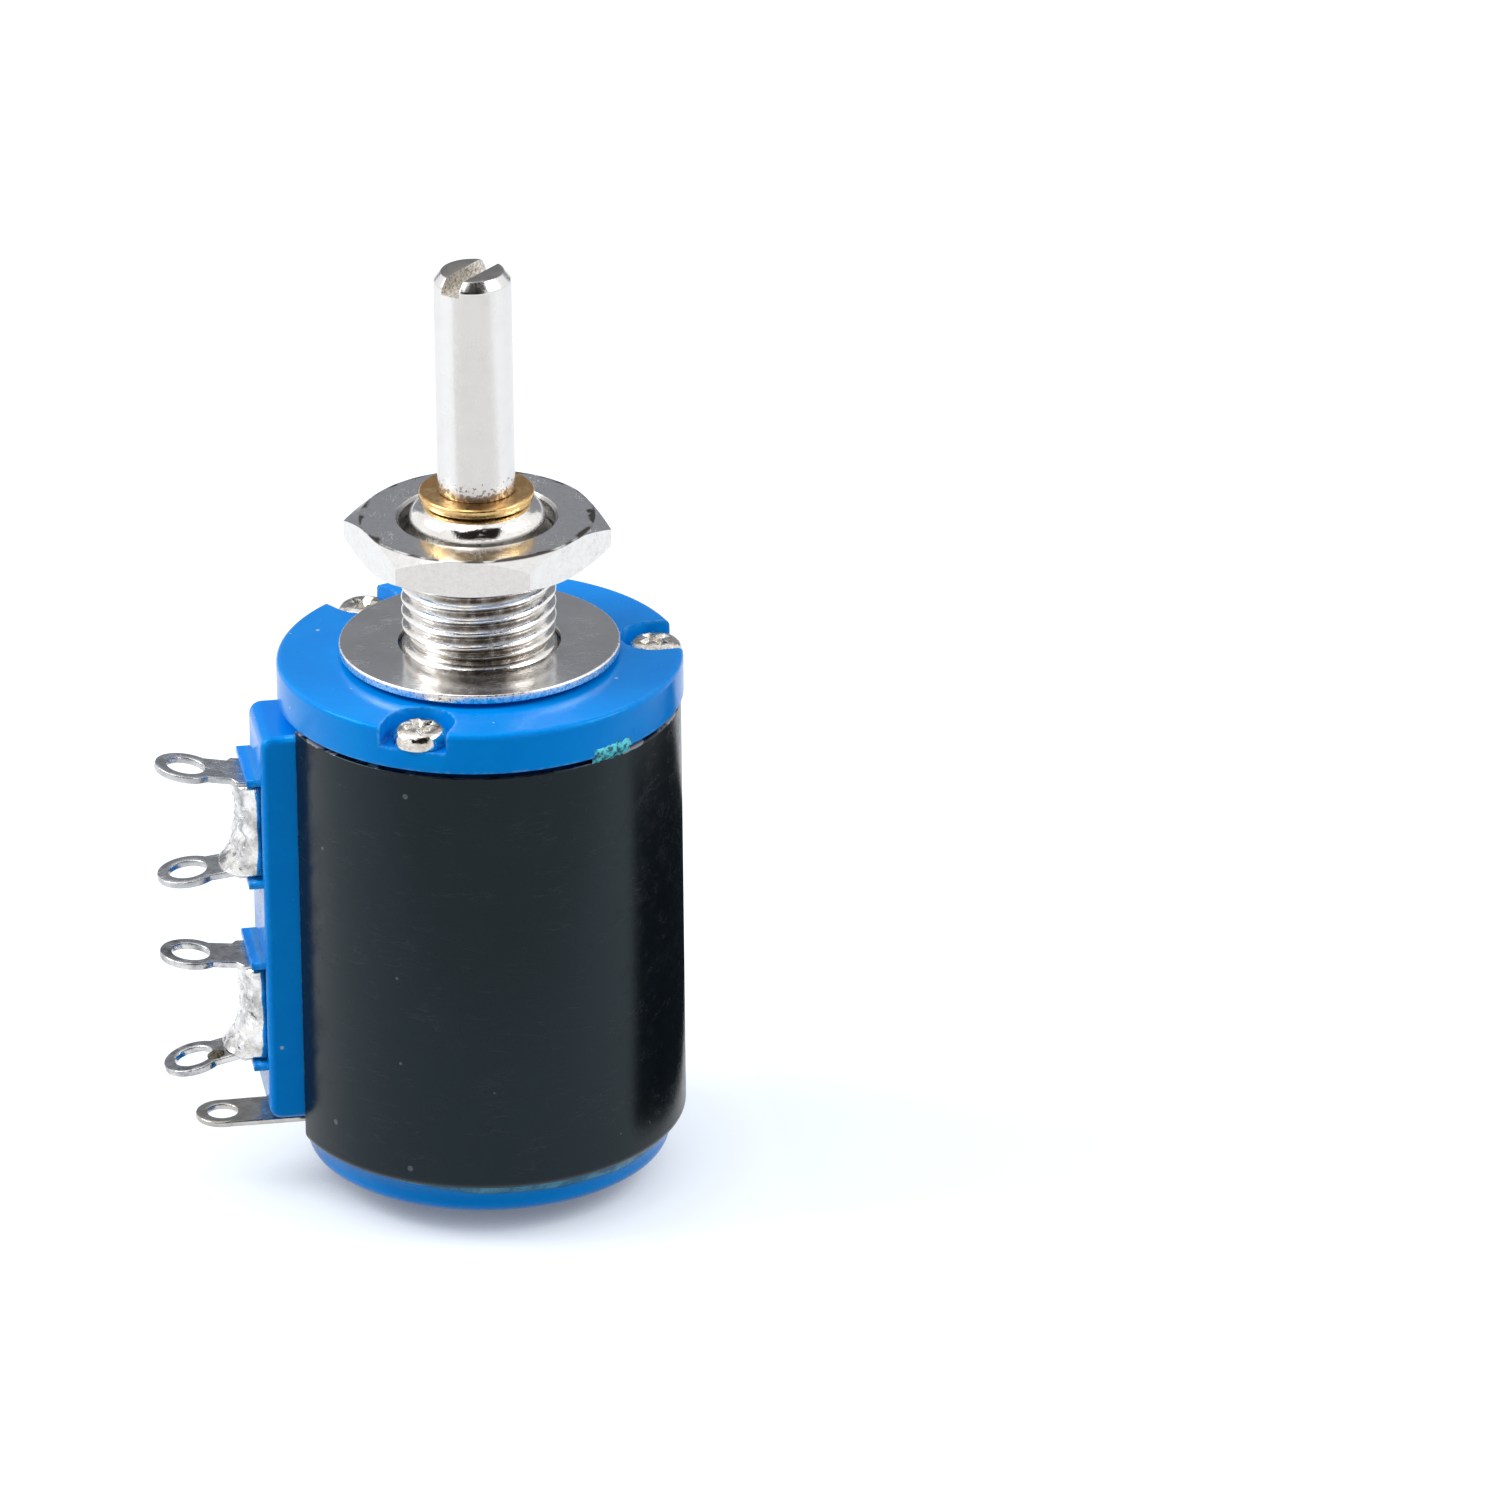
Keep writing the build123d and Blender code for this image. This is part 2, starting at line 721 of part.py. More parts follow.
with BuildPart() as collector_ring:
    with BuildSketch(Plane.XY.offset(ring_bottom_z)):
        Circle(ring_outer_radius)
        Circle(ring_inner_radius, mode=Mode.SUBTRACT)
    extrude(amount=ring_thickness)
collector_ring.part.label = "collector_ring"
export_step(collector_ring.part, "parts/collector_ring.step")


# --- Thrust washer: between the drum and the bushing's flange --------------------------

thrust_gap = 0.05
thrust_washer_radius = 4.0

with BuildPart() as thrust_washer:
    with BuildSketch(Plane.XY.offset(drum_top_z)):
        Circle(thrust_washer_radius)
        Circle(shaft_radius, mode=Mode.SUBTRACT)
    extrude(amount=flange_bottom_z - thrust_gap - drum_top_z)
thrust_washer.part.label = "thrust_washer"
export_step(thrust_washer.part, "parts/thrust_washer.step")


# --- Wiper carrier: slides in the drum's slot, its two fingers astride one turn --------

carrier_height = 3.2
carrier_width = 3.1
carrier_rail_gap = 0.1
carrier_inner = drum_slot_floor + rail_thickness + carrier_rail_gap
carrier_outer = 6.7
carrier_edge_round = 0.5
finger_width = 1.0
finger_thickness = 0.25
finger_reach = 7.5
finger_root = 0.5  # how deep a finger is set in the carrier
pin_radius = 0.45

with BuildPart() as wiper_carrier:
    with BuildSketch(Plane.XY.offset(travel_middle_z - carrier_height / 2)):
        with Locations((-carrier_inner, 0)):
            Rectangle(carrier_outer - carrier_inner, carrier_width, align=(Align.MAX, Align.CENTER))
    extrude(amount=carrier_height)
    fillet(wiper_carrier.edges().filter_by(Axis.Z).group_by(Axis.X)[0], carrier_edge_round)
    # fingers between neighbouring turns
    for side in (-1, 1):
        finger_z = travel_middle_z + side * pitch / 2
        with BuildSketch(Plane.XY.offset(finger_z)):
            with Locations((finger_root - carrier_outer, 0)):
                Rectangle(
                    finger_reach - carrier_outer + finger_root,
                    finger_width,
                    align=(Align.MAX, Align.CENTER),
                )
        extrude(amount=finger_thickness / 2, both=True)
    # bore for the contact pin
    with BuildSketch(Plane.YZ.offset(-carrier_outer - cut_past)):
        with Locations((0, travel_middle_z)):
            Circle(pin_radius)
    extrude(amount=carrier_outer, mode=Mode.SUBTRACT)
wiper_carrier.part.label = "wiper_carrier"
export_step(wiper_carrier.part, "parts/wiper_carrier.step")


# --- Wiper contact: pin through the carrier from the rail to the winding ---------------

contact_gap = 0.07
pin_nose_round = 0.15
pin_outer = element_circle - element_radius - contact_gap
pin_inner = drum_slot_floor + rail_thickness + contact_gap

with BuildPart() as wiper_contact:
    with BuildSketch(Plane.YZ.offset(-pin_outer)):
        with Locations((0, travel_middle_z)):
            Circle(pin_radius)
    extrude(amount=pin_outer - pin_inner)
    pin_nose = wiper_contact.faces().sort_by(Axis.X)[0].edges()
    fillet(pin_nose, pin_nose_round)
wiper_contact.part.label = "wiper_contact"
export_step(wiper_contact.part, "parts/wiper_contact.step")
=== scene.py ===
"""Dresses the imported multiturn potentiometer: meshes, finishes and a plain studio."""

import json
import math

import bmesh
import bpy
from mathutils import Matrix, Vector, noise


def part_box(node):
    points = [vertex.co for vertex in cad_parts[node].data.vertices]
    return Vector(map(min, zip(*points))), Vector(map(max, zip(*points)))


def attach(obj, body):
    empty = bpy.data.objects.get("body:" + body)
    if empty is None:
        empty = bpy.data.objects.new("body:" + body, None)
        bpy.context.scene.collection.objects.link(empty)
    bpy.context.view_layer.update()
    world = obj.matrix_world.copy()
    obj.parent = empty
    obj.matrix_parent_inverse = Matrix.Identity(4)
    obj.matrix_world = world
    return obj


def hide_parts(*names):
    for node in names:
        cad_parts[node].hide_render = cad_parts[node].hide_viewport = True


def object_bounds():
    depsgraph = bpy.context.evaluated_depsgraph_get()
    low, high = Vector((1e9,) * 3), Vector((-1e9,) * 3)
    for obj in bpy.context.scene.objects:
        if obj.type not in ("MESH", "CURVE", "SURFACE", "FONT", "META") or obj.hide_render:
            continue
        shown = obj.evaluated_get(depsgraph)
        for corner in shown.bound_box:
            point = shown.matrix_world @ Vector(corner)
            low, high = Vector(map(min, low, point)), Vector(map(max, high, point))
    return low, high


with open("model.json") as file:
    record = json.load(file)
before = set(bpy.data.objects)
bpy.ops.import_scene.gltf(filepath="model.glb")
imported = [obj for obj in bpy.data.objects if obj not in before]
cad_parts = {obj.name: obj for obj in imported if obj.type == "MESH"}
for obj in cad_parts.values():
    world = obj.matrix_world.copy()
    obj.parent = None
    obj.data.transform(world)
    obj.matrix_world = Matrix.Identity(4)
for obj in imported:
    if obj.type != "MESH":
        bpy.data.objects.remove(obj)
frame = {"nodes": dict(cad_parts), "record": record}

cad_low, cad_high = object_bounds()
mm = 0.001


# --- Bushing ---------------------------------------------------------------------------
# Turned from brass bar and plated with nickel. A fine thread of 0.75 mm pitch runs from
# the undercut at its foot to the plain domed nose. Its flange holds it in the front cap.


def heights(box):
    """Lower and upper end of a node's box, in millimetres."""
    return box[0].z / mm, box[1].z / mm


def rounded(*corners, steps=5):
    """Closed outline through corners of radius, height and rounding, in millimetres."""
    points = []
    for index, (radius, height, rounding) in enumerate(corners):
        here = Vector((radius, height))
        if not rounding:
            points.append(here * mm)
            continue
        back = (Vector(corners[index - 1][:2]) - here).normalized()
        onward = (Vector(corners[(index + 1) % len(corners)][:2]) - here).normalized()
        half = back.angle(onward) / 2
        centre = here + (back + onward).normalized() * rounding / math.sin(half)
        start = here + back * rounding / math.tan(half) - centre
        end = here + onward * rounding / math.tan(half) - centre
        for step in range(steps + 1):
            ray = start.normalized().slerp(end.normalized(), step / steps)
            points.append((centre + ray * rounding) * mm)
    return points


def skinned(shape, rows, closed=True):
    """Faces between each row of points and the next, closed round the rows or left open."""
    for row, following in zip(rows, rows[1:]):
        for index in range(len(row) if closed else len(row) - 1):
            after = (index + 1) % len(row)
            shape.faces.new((row[index], following[index], following[after], row[after]))


def linked(name, data):
    """New object in the scene."""
    piece = bpy.data.objects.new(name, data)
    bpy.context.scene.collection.objects.link(piece)
    return piece


def finished(name, shape):
    """Object with the mesh of a bmesh, its doubled points merged."""
    bmesh.ops.remove_doubles(shape, verts=shape.verts, dist=1e-7)
    bmesh.ops.dissolve_degenerate(shape, dist=1e-7, edges=shape.edges)
    bmesh.ops.recalc_face_normals(shape, faces=shape.faces)
    for face in shape.faces:
        face.smooth = True
    mesh = bpy.data.meshes.new(name)
    shape.to_mesh(mesh)
    shape.free()
    return linked(name, mesh)


def lofted(name, rows, capped=True):
    """Skin through rings of points, its first and last ring closed or left open."""
    shape = bmesh.new()
    rings = [[shape.verts.new(point) for point in row] for row in rows]
    skinned(shape, rings)
    if capped:
        shape.faces.new(rings[0])
        shape.faces.new(reversed(rings[-1]))
    return finished(name, shape)


def turned(name, outline, sides=160, start=0.0, sweep=math.tau):
    """Skin swept round the axis by a closed outline, or by one worked out for each angle."""
    columns = []
    for side in range(sides + 1):
        angle = start + sweep * side / sides
        x, y = math.cos(angle), math.sin(angle)
        column = outline(angle) if callable(outline) else outline
        columns.append([(radius * x, radius * y, height) for radius, height in column])
    return lofted(name, columns, capped=sweep < math.tau)


def baked(piece):
    """Puts what the piece's modifiers make into its own mesh."""
    bpy.context.view_layer.update()
    ready = piece.evaluated_get(bpy.context.evaluated_depsgraph_get())
    mesh = bpy.data.meshes.new_from_object(ready)
    piece.modifiers.clear()
    piece.data = mesh
    mesh.name = piece.name
    return piece


def worked(piece, rounding=0.0, steps=2, angle=32, crisp=0.0):
    """Works the rounding of the piece's edges into its mesh, or keeps them crisp."""
    if crisp:
        piece.data.set_sharp_from_angle(angle=math.radians(crisp))
    if rounding:
        edges = piece.modifiers.new("edges", "BEVEL")
        edges.width = rounding * mm
        edges.segments = steps
        edges.limit_method = "ANGLE"
        edges.angle_limit = math.radians(angle)
    shading = piece.modifiers.new("shading", "WEIGHTED_NORMAL")
    shading.weight = 80
    shading.keep_sharp = bool(crisp)
    return baked(piece)


bushing_foot, bushing_nose = heights(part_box("bushing"))
bushing_bore = 2.03
cap_under = -2.45  # lower face of the front cap's floor and rim
thread_pitch = 0.75
thread_foot = 0.72
thread_top = 6.85
thread_rows = 12  # in one pitch
thread_runout = 0.5  # height over which the thread fades at either end
thread_root = 3.6
thread_crest = 4.0


def thread_radius(phase):
    """Radius over one pitch: a rounded crest and a rounded root."""
    return thread_root + (thread_crest - thread_root) * (0.5 + 0.5 * math.cos(math.tau * phase)) ** 0.85


bushing_below = rounded(
    (bushing_bore, bushing_foot, 0),
    (6.0, bushing_foot, 0.1),
    (6.0, cap_under, 0),
    (thread_crest, cap_under, 0),
    (thread_crest, 0.0, 0),
    (4.17, 0.0, 0),
    (4.17, 0.08, 0.03),
    (thread_crest, 0.08, 0),
    (thread_crest, 0.4, 0),
    (thread_root, 0.55, 0.05),
    (thread_root, thread_foot, 0),
)
bushing_above = rounded(
    (3.55, 6.9, 0),
    (3.55, bushing_nose, 1.1),
    (2.2, bushing_nose, 0.05),
    (bushing_bore, bushing_nose - 0.17, 0),
    (bushing_bore, 3.0, 0),
    steps=8,
)


def bushing_outline(angle):
    """The bushing's outline at one angle, its thread climbing with the angle."""
    thread = []
    turns = int((thread_top - thread_foot) / thread_pitch) + 3
    first = thread_foot - thread_pitch * 1.5 + thread_pitch * angle / math.tau
    for row in range(turns * thread_rows):
        height = first + thread_pitch * row / thread_rows
        height = min(max(height, thread_foot), thread_top)
        runout = min(height - thread_foot, thread_top - height) / thread_runout
        runout = min(max(runout, 0.0), 1.0) ** 2 * (3 - 2 * min(runout, 1.0))
        full = thread_radius(row % thread_rows / thread_rows)
        thread.append(((thread_root + (full - thread_root) * runout) * mm, height * mm))
    return bushing_below + thread + bushing_above


bushing = worked(turned("bushing_threaded", bushing_outline, sides=144))


def group_tree(name, inputs, outputs):
    """Empty shader group with its named sockets, and its two end nodes."""
    tree = bpy.data.node_groups.new(name, "ShaderNodeTree")
    for side, sockets in (("INPUT", inputs), ("OUTPUT", outputs)):
        for kind, labels in sockets.items():
            for label in labels:
                tree.interface.new_socket(label, in_out=side, socket_type="NodeSocket" + kind)
    return tree, tree.nodes.new("NodeGroupInput").outputs, tree.nodes.new("NodeGroupOutput")


def wired(tree, node, values):
    """The node, with its sockets linked to other nodes or set to constant values."""
    for label, value in values.items():
        socket = node.inputs[label]
        if isinstance(value, bpy.types.NodeSocket):
            tree.links.new(value, socket)
        elif socket.type == "RGBA":
            socket.default_value = (*value, 1)
        else:
            socket.default_value = value
    return node


def add(tree, kind, values=None, **settings):
    """New shader node, with its settings made and its sockets linked or set."""
    node = tree.nodes.new("ShaderNode" + kind)
    for setting, value in settings.items():
        setattr(node, setting, value)
    return wired(tree, node, values or {})


def millimetres(tree):
    """Place on the piece in millimetres."""
    place = add(tree, "TexCoord").outputs["Object"]
    return add(tree, "VectorMath", {0: place, "Scale": 1 / mm}, operation="SCALE").outputs[0]


def coordinates(tree):
    """The same place, as its X, Y and Z."""
    return add(tree, "SeparateXYZ", {0: millimetres(tree)}).outputs


def mottle(tree, scale, detail, **values):
    """Noise over the piece, its scale in cells to the millimetre."""
    values.update({"Vector": millimetres(tree), "Scale": scale, "Detail": detail})
    return add(tree, "TexNoise", values).outputs[0]


def blend(tree, share, first, second):
    """Colour between two others."""
    return add(tree, "Mix", {0: share, 6: first, 7: second}, data_type="RGBA").outputs[2]


def ramp(tree, value, low, high, to_low=0.0, to_high=1.0):
    """Value spread from one range to another, and held at its ends."""
    values = {"Value": value, 1: low, 2: high, 3: to_low, 4: to_high}
    return add(tree, "MapRange", values).outputs[0]


def sums(tree, operation, *values):
    """Arithmetic on values."""
    return add(tree, "Math", dict(enumerate(values)), operation=operation).outputs[0]


def product(tree, *values):
    """Values multiplied together."""
    whole = values[0]
    for value in values[1:]:
        whole = sums(tree, "MULTIPLY", whole, value)
    return whole


skin_outputs = {"Color": ["Color"], "Float": ["Roughness", "Height"]}
mask_only = {"Float": ["Mask"]}

# Plating: bright metal with cloudy tarnish and a faint ripple.
plating, given, result = group_tree(
    "plating",
    {"Color": ["Metal", "Tarnish"], "Float": ["Tarnish Share", "Cloud Size", "Polished", "Dull"]},
    skin_outputs,
)
finer = sums(plating, "DIVIDE", 1.0, given["Cloud Size"])
clouds = ramp(plating, mottle(plating, finer, 5, Roughness=0.62), 0.42, 0.72)
tarnish = product(plating, clouds, given["Tarnish Share"])
smears = ramp(plating, mottle(plating, 2.3, 6, Roughness=0.7), 0.35, 0.75)
spread = sums(plating, "SUBTRACT", given["Dull"], given["Polished"])
outcome = {
    "Color": blend(plating, tarnish, given["Metal"], given["Tarnish"]),
    "Roughness": sums(plating, "MULTIPLY_ADD", spread, smears, given["Polished"]),
    "Height": mottle(plating, 9.0, 3),
}
wired(plating, result, outcome)

# Edge wear and highlight: a broken mask along the piece's edges, used for real wear and for edge
# highlights painted into the colour.
edge_wear_and_highlight, given, result = group_tree("edge wear and highlight", {"Float": ["Reach", "Amount"]}, mask_only)
softened = add(edge_wear_and_highlight, "Bevel", {"Radius": given["Reach"]}, samples=4).outputs[0]
facing = add(edge_wear_and_highlight, "NewGeometry").outputs["Normal"]
alike = add(edge_wear_and_highlight, "VectorMath", {0: softened, 1: facing}, operation="DOT_PRODUCT")
edge = ramp(edge_wear_and_highlight, alike.outputs["Value"], 0.99, 0.9)
broken = ramp(edge_wear_and_highlight, mottle(edge_wear_and_highlight, 3.1, 4), 0.42, 0.62)
wired(edge_wear_and_highlight, result, {"Mask": product(edge_wear_and_highlight, edge, broken, given["Amount"])})

# Scratches: thin broken lines that run mostly one way.
scratches, given, result = group_tree(
    "scratches", {"Vector": ["Along"], "Float": ["Scale", "Amount"]}, mask_only
)
drawn = {0: millimetres(scratches), 1: given["Along"]}
drawn = add(scratches, "VectorMath", drawn, operation="MULTIPLY").outputs[0]
fibres = {"Vector": drawn, "Scale": given["Scale"], "Detail": 3, "Roughness": 0.65}
fibres = add(scratches, "TexNoise", fibres).outputs[0]
off_middle = sums(scratches, "ABSOLUTE", sums(scratches, "SUBTRACT", fibres, 0.5))
line = ramp(scratches, off_middle, 0.014, 0.004)
patches = ramp(scratches, mottle(scratches, 0.6, 2), 0.48, 0.62)
wired(scratches, result, {"Mask": product(scratches, line, patches, given["Amount"])})


def finish(name, constants):
    """New material with its constant values set on the shader's own sockets."""
    made = bpy.data.materials.new(name)
    made.use_nodes = True
    shader = made.node_tree.nodes["Principled BSDF"]
    return made, made.node_tree, wired(made.node_tree, shader, constants)


def placed(tree, group, values):
    """Outputs of a shared effect in a material, with that material's own values."""
    node = tree.nodes.new("ShaderNodeGroup")
    node.node_tree = group
    return wired(tree, node, values).outputs


def bumped(tree, shader, height, strength, depth):
    """Relief on the shader's normal, its depth in millimetres."""
    bump = add(tree, "Bump", {"Height": height, "Strength": strength, "Distance": depth * mm})
    wired(tree, shader, {"Normal": bump.outputs[0]})


def off_axis(tree):
    """Distance from the shaft's axis in millimetres."""
    parts = coordinates(tree)
    square = sums(tree, "MULTIPLY", parts["X"], parts["X"])
    return sums(tree, "SQRT", sums(tree, "MULTIPLY_ADD", parts["Y"], parts["Y"], square))


def plated(
    name, metal, tarnish, worn_and_highlight, share, size, polished, dull, along, lines, relief, marks_and_painted_light=None, marks_and_painted_light_color=()
):
    """Plated or bare metal: tarnish clouds, fine lines, bright edges that are partly wear and partly
    painted highlight, and an extra mark: dirt on some pieces, partly painted shade on the thread and nut,
    partly painted highlight on the washer.
    """
    made, tree, shader = finish(name, {"Metallic": 1.0})
    clouded = {"Metal": metal, "Tarnish": tarnish, "Tarnish Share": share, "Cloud Size": size}
    skin = placed(tree, plating, {**clouded, "Polished": polished, "Dull": dull})
    # Bright edges: partly wear, partly a painted highlight.
    worn_and_highlit_edges = placed(tree, edge_wear_and_highlight, {"Reach": 0.06 * mm, "Amount": 0.8})["Mask"]
    color = blend(tree, worn_and_highlit_edges, skin["Color"], worn_and_highlight)
    marks = placed(tree, scratches, {"Along": along, "Scale": lines, "Amount": 1.0})["Mask"]
    roughness = sums(tree, "MULTIPLY_ADD", marks, 0.25, skin["Roughness"])
    # The extra mark is dirt on some pieces, partly painted shade on the thread and nut, and partly a
    # painted highlight on the washer's rim.
    if marks_and_painted_light:
        marked_and_lit = marks_and_painted_light(tree)
        color = blend(tree, marked_and_lit, color, marks_and_painted_light_color)
        roughness = sums(tree, "MULTIPLY_ADD", marked_and_lit, 0.2, roughness)
    wired(tree, shader, {"Base Color": color, "Roughness": roughness})
    height = sums(tree, "MULTIPLY_ADD", marks, -0.6, skin["Height"])
    bumped(tree, shader, height, relief, 0.02)
    return made


def thread_grime_and_shade(tree):
    """Brown dirt in the thread's roots, heavier at the front as a painted dark reflection, and a dark ring
    round the foot that is painted shade in the gap inside the washer.
    """
    radius = off_axis(tree)
    root = ramp(tree, radius, 3.95, 3.72)
    below_nose = ramp(tree, coordinates(tree)["Z"], thread_top + 0.1, thread_top - 0.05)
    uneven = ramp(tree, mottle(tree, 2.2, 5), 0.3, 0.6, 0.5, 1.0)
    # Painted dark reflection: the roots darken towards the front.
    front = ramp(tree, coordinates(tree)["Y"], -2.2, -3.6, 0.25, 1.0)
    root = product(tree, root, below_nose, uneven, front)
    # Painted shade: the shoulder at the foot, inside the washer's hole, is darkened.
    foot = ramp(tree, radius, thread_crest + 0.01, thread_crest + 0.04, 0.0, 0.95)
    return sums(tree, "MAXIMUM", root, foot)


bushing_nickel = plated(
    "bushing nickel",
    metal=(0.93, 0.915, 0.89), tarnish=(0.62, 0.55, 0.47), worn_and_highlight=(0.94, 0.93, 0.92),
    share=0.45, size=1.4, polished=0.07, dull=0.2,
    along=(0.4, 0.4, 3.0), lines=1.6, relief=0.35,
    marks_and_painted_light=thread_grime_and_shade, marks_and_painted_light_color=(0.15, 0.12, 0.095),
)
bushing.data.materials.append(bushing_nickel)
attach(bushing, "housing")
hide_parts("bushing")


# --- Shaft -----------------------------------------------------------------------------
# Turned from steel bar, 4 mm across, and plated. A slot for a screwdriver is milled
# across the tip. It turns in the bushing's bore and in the rear bearing.

shaft_end, shaft_tip = heights(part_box("shaft"))
shaft_radius = 2.0
journal_radius = 1.5
groove_radius = 1.6
drum_foot = -22.9
slot_width = 1.1
slot_depth = 0.8
slot_angle = math.radians(46)

shaft_outline = rounded(
    (0.0, shaft_tip, 0),
    (1.6, shaft_tip, 0.08),
    (shaft_radius, shaft_tip - 0.5, 0.3),
    (shaft_radius, 8.9, 0.08),
    (groove_radius, 8.9, 0),
    (groove_radius, 8.4, 0),
    (shaft_radius, 8.4, 0),
    (shaft_radius, drum_foot, 0.05),
    (journal_radius, drum_foot, 0),
    (journal_radius, shaft_end, 0.15),
    (0.0, shaft_end, 0),
)
shaft = turned("shaft_slotted", shaft_outline, sides=128)


def combined(piece, operation, *others):
    """Joins the others' shapes to the piece, or takes them out of it, and removes them."""
    for other in others:
        change = piece.modifiers.new("change", "BOOLEAN")
        change.operation = operation
        change.solver = "EXACT"
        change.object = other
    baked(piece)
    for other in others:
        bpy.data.objects.remove(other)
    return piece


def heading(angle):
    """Direction out from the axis at an angle."""
    return Vector((math.cos(angle), math.sin(angle), 0))


def prism(name, outline, low, high, plane="XY"):
    """Straight block over a closed outline, in millimetres, in the XY or the XZ plane."""
    ends = []
    for depth in (low, high):
        ring = [(x, y, depth) if plane == "XY" else (x, depth, y) for x, y in outline]
        ends.append([Vector(point) * mm for point in ring])
    return lofted(name, ends)


def swung(outline, angle, reach=0.0):
    """The outline moved outward by reach and swung round the axis by angle."""
    turn_x, turn_y = math.cos(angle), math.sin(angle)
    return [
        ((x + reach) * turn_x - y * turn_y, (x + reach) * turn_y + y * turn_x) for x, y in outline
    ]


def oblong(left, right, half_width):
    """Outline of a rectangle that lies evenly on both sides of the X axis."""
    return [(left, -half_width), (right, -half_width), (right, half_width), (left, half_width)]


slot_outline = swung(oblong(-3, 3, slot_width / 2), slot_angle)
slot_cutter = prism("slot", slot_outline, shaft_tip - slot_depth, shaft_tip + 1)
worked(combined(shaft, "DIFFERENCE", slot_cutter), rounding=0.05, angle=50)


def shaft_grime(tree):
    """Dark specks round the shaft's foot, and a film on its end face."""
    height = coordinates(tree)["Z"]
    rarer = ramp(tree, height, 10.7, 8.9, 0.78, 0.42)
    specks = sums(tree, "SUBTRACT", mottle(tree, 5.5, 3), rarer)
    specks = ramp(tree, specks, 0.0, 0.06, 0.0, 0.75)
    film = ramp(tree, height, shaft_tip - 0.04, shaft_tip - 0.02, 0.0, 0.6)
    return sums(tree, "MAXIMUM", specks, film)


shaft_plate = plated(
    "shaft plate",
    metal=(0.79, 0.785, 0.775), tarnish=(0.7, 0.69, 0.67), worn_and_highlight=(0.93, 0.92, 0.91),
    share=0.4, size=1.6, polished=0.14, dull=0.26,
    along=(3.0, 3.0, 0.35), lines=1.4, relief=0.1,
    marks_and_painted_light=shaft_grime, marks_and_painted_light_color=(0.2, 0.17, 0.13),
)
milled_slot = plated(
    "milled slot",
    metal=(0.86, 0.83, 0.78), tarnish=(0.16, 0.125, 0.09), worn_and_highlight=(0.95, 0.93, 0.9),
    share=1.0, size=0.14, polished=0.35, dull=0.6,
    along=(1.0, 1.0, 1.0), lines=1.0, relief=1.0,
)
shaft.data.materials.append(shaft_plate)
shaft.data.materials.append(milled_slot)
for face in shaft.data.polygons:
    centre = face.center / mm
    off_slot = abs(centre.y * math.cos(slot_angle) - centre.x * math.sin(slot_angle))
    above_floor = centre.z - (shaft_tip - slot_depth)
    if off_slot < slot_width / 2 + 0.005 and -0.01 < above_floor < slot_depth - 0.01:
        face.material_index = 1
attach(shaft, "rotor")
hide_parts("shaft")


# --- Retaining clip --------------------------------------------------------------------
# Open ring stamped from brass and sprung into the shaft's groove, where it rests on the
# bushing's nose and keeps the shaft from being pushed in.

clip_low, clip_high = heights(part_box("retaining_clip"))
gap_angle = math.radians(81)
half_gap = math.radians(16)
clip_outline = rounded(
    (1.62, clip_low, 0), (2.98, clip_low, 0.14), (2.98, clip_high, 0.17), (1.62, clip_high, 0.05)
)
clip = turned("clip_ring", clip_outline, 120, gap_angle + half_gap, math.tau - 2 * half_gap)
worked(clip)


def clip_grime(tree):
    """Brown film on the ring's upper face."""
    upper = ramp(tree, coordinates(tree)["Z"], clip_high - 0.12, clip_high - 0.02)
    return product(tree, upper, ramp(tree, mottle(tree, 1.3, 5), 0.35, 0.6, 0.3, 0.9))


clip_brass = plated(
    "clip brass",
    metal=(0.86, 0.6, 0.27), tarnish=(0.5, 0.28, 0.1), worn_and_highlight=(0.95, 0.82, 0.58),
    share=0.6, size=0.4, polished=0.14, dull=0.34,
    along=(0.4, 0.4, 4.0), lines=2.0, relief=0.3,
    marks_and_painted_light=clip_grime, marks_and_painted_light_color=(0.42, 0.22, 0.07),
)
clip.data.materials.append(clip_brass)
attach(clip, "rotor")
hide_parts("retaining_clip")


# --- Front cap -------------------------------------------------------------------------
# Disc moulded in blue plastic, with a hub under the washer, a spigot that centres it in
# the case, and three pockets open at the rim for the heads of its screws.

cap_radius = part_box("front_cap")[1].y / mm
cap_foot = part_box("front_cap")[0].z / mm
hub_radius = 6.5
rim_top = -0.25
spigot_radius = 7.85
hollow_radius = 7.0
pocket_radius = 1.8
pocket_floor = -1.35
screw_circle = 9.2
screw_angles = [math.radians(degrees) for degrees in (2.7, 122.7, 242.7)]

cap_outline = rounded(
    (thread_crest, 0.0, 0),
    (hub_radius, 0.0, 0.08),
    (hub_radius, rim_top, 0.05),
    (cap_radius, rim_top, 0.3),
    (cap_radius, cap_under, 0.08),
    (spigot_radius, cap_under, 0),
    (spigot_radius, cap_foot, 0.2),
    (hollow_radius, cap_foot, 0),
    (hollow_radius, cap_under, 0),
    (thread_crest, cap_under, 0),
)
front_cap = turned("front_cap_moulded", cap_outline, sides=240)

pocket = [(2.5, -pocket_radius), (2.5, pocket_radius)]
for step in range(25):
    pocket.append(heading(math.pi * (0.5 + step / 24)).xy * pocket_radius)
cutters = [
    prism("pocket", swung(pocket, angle, screw_circle), pocket_floor, 1.0) for angle in screw_angles
]
worked(combined(front_cap, "DIFFERENCE", *cutters), rounding=0.13, steps=3, angle=48)

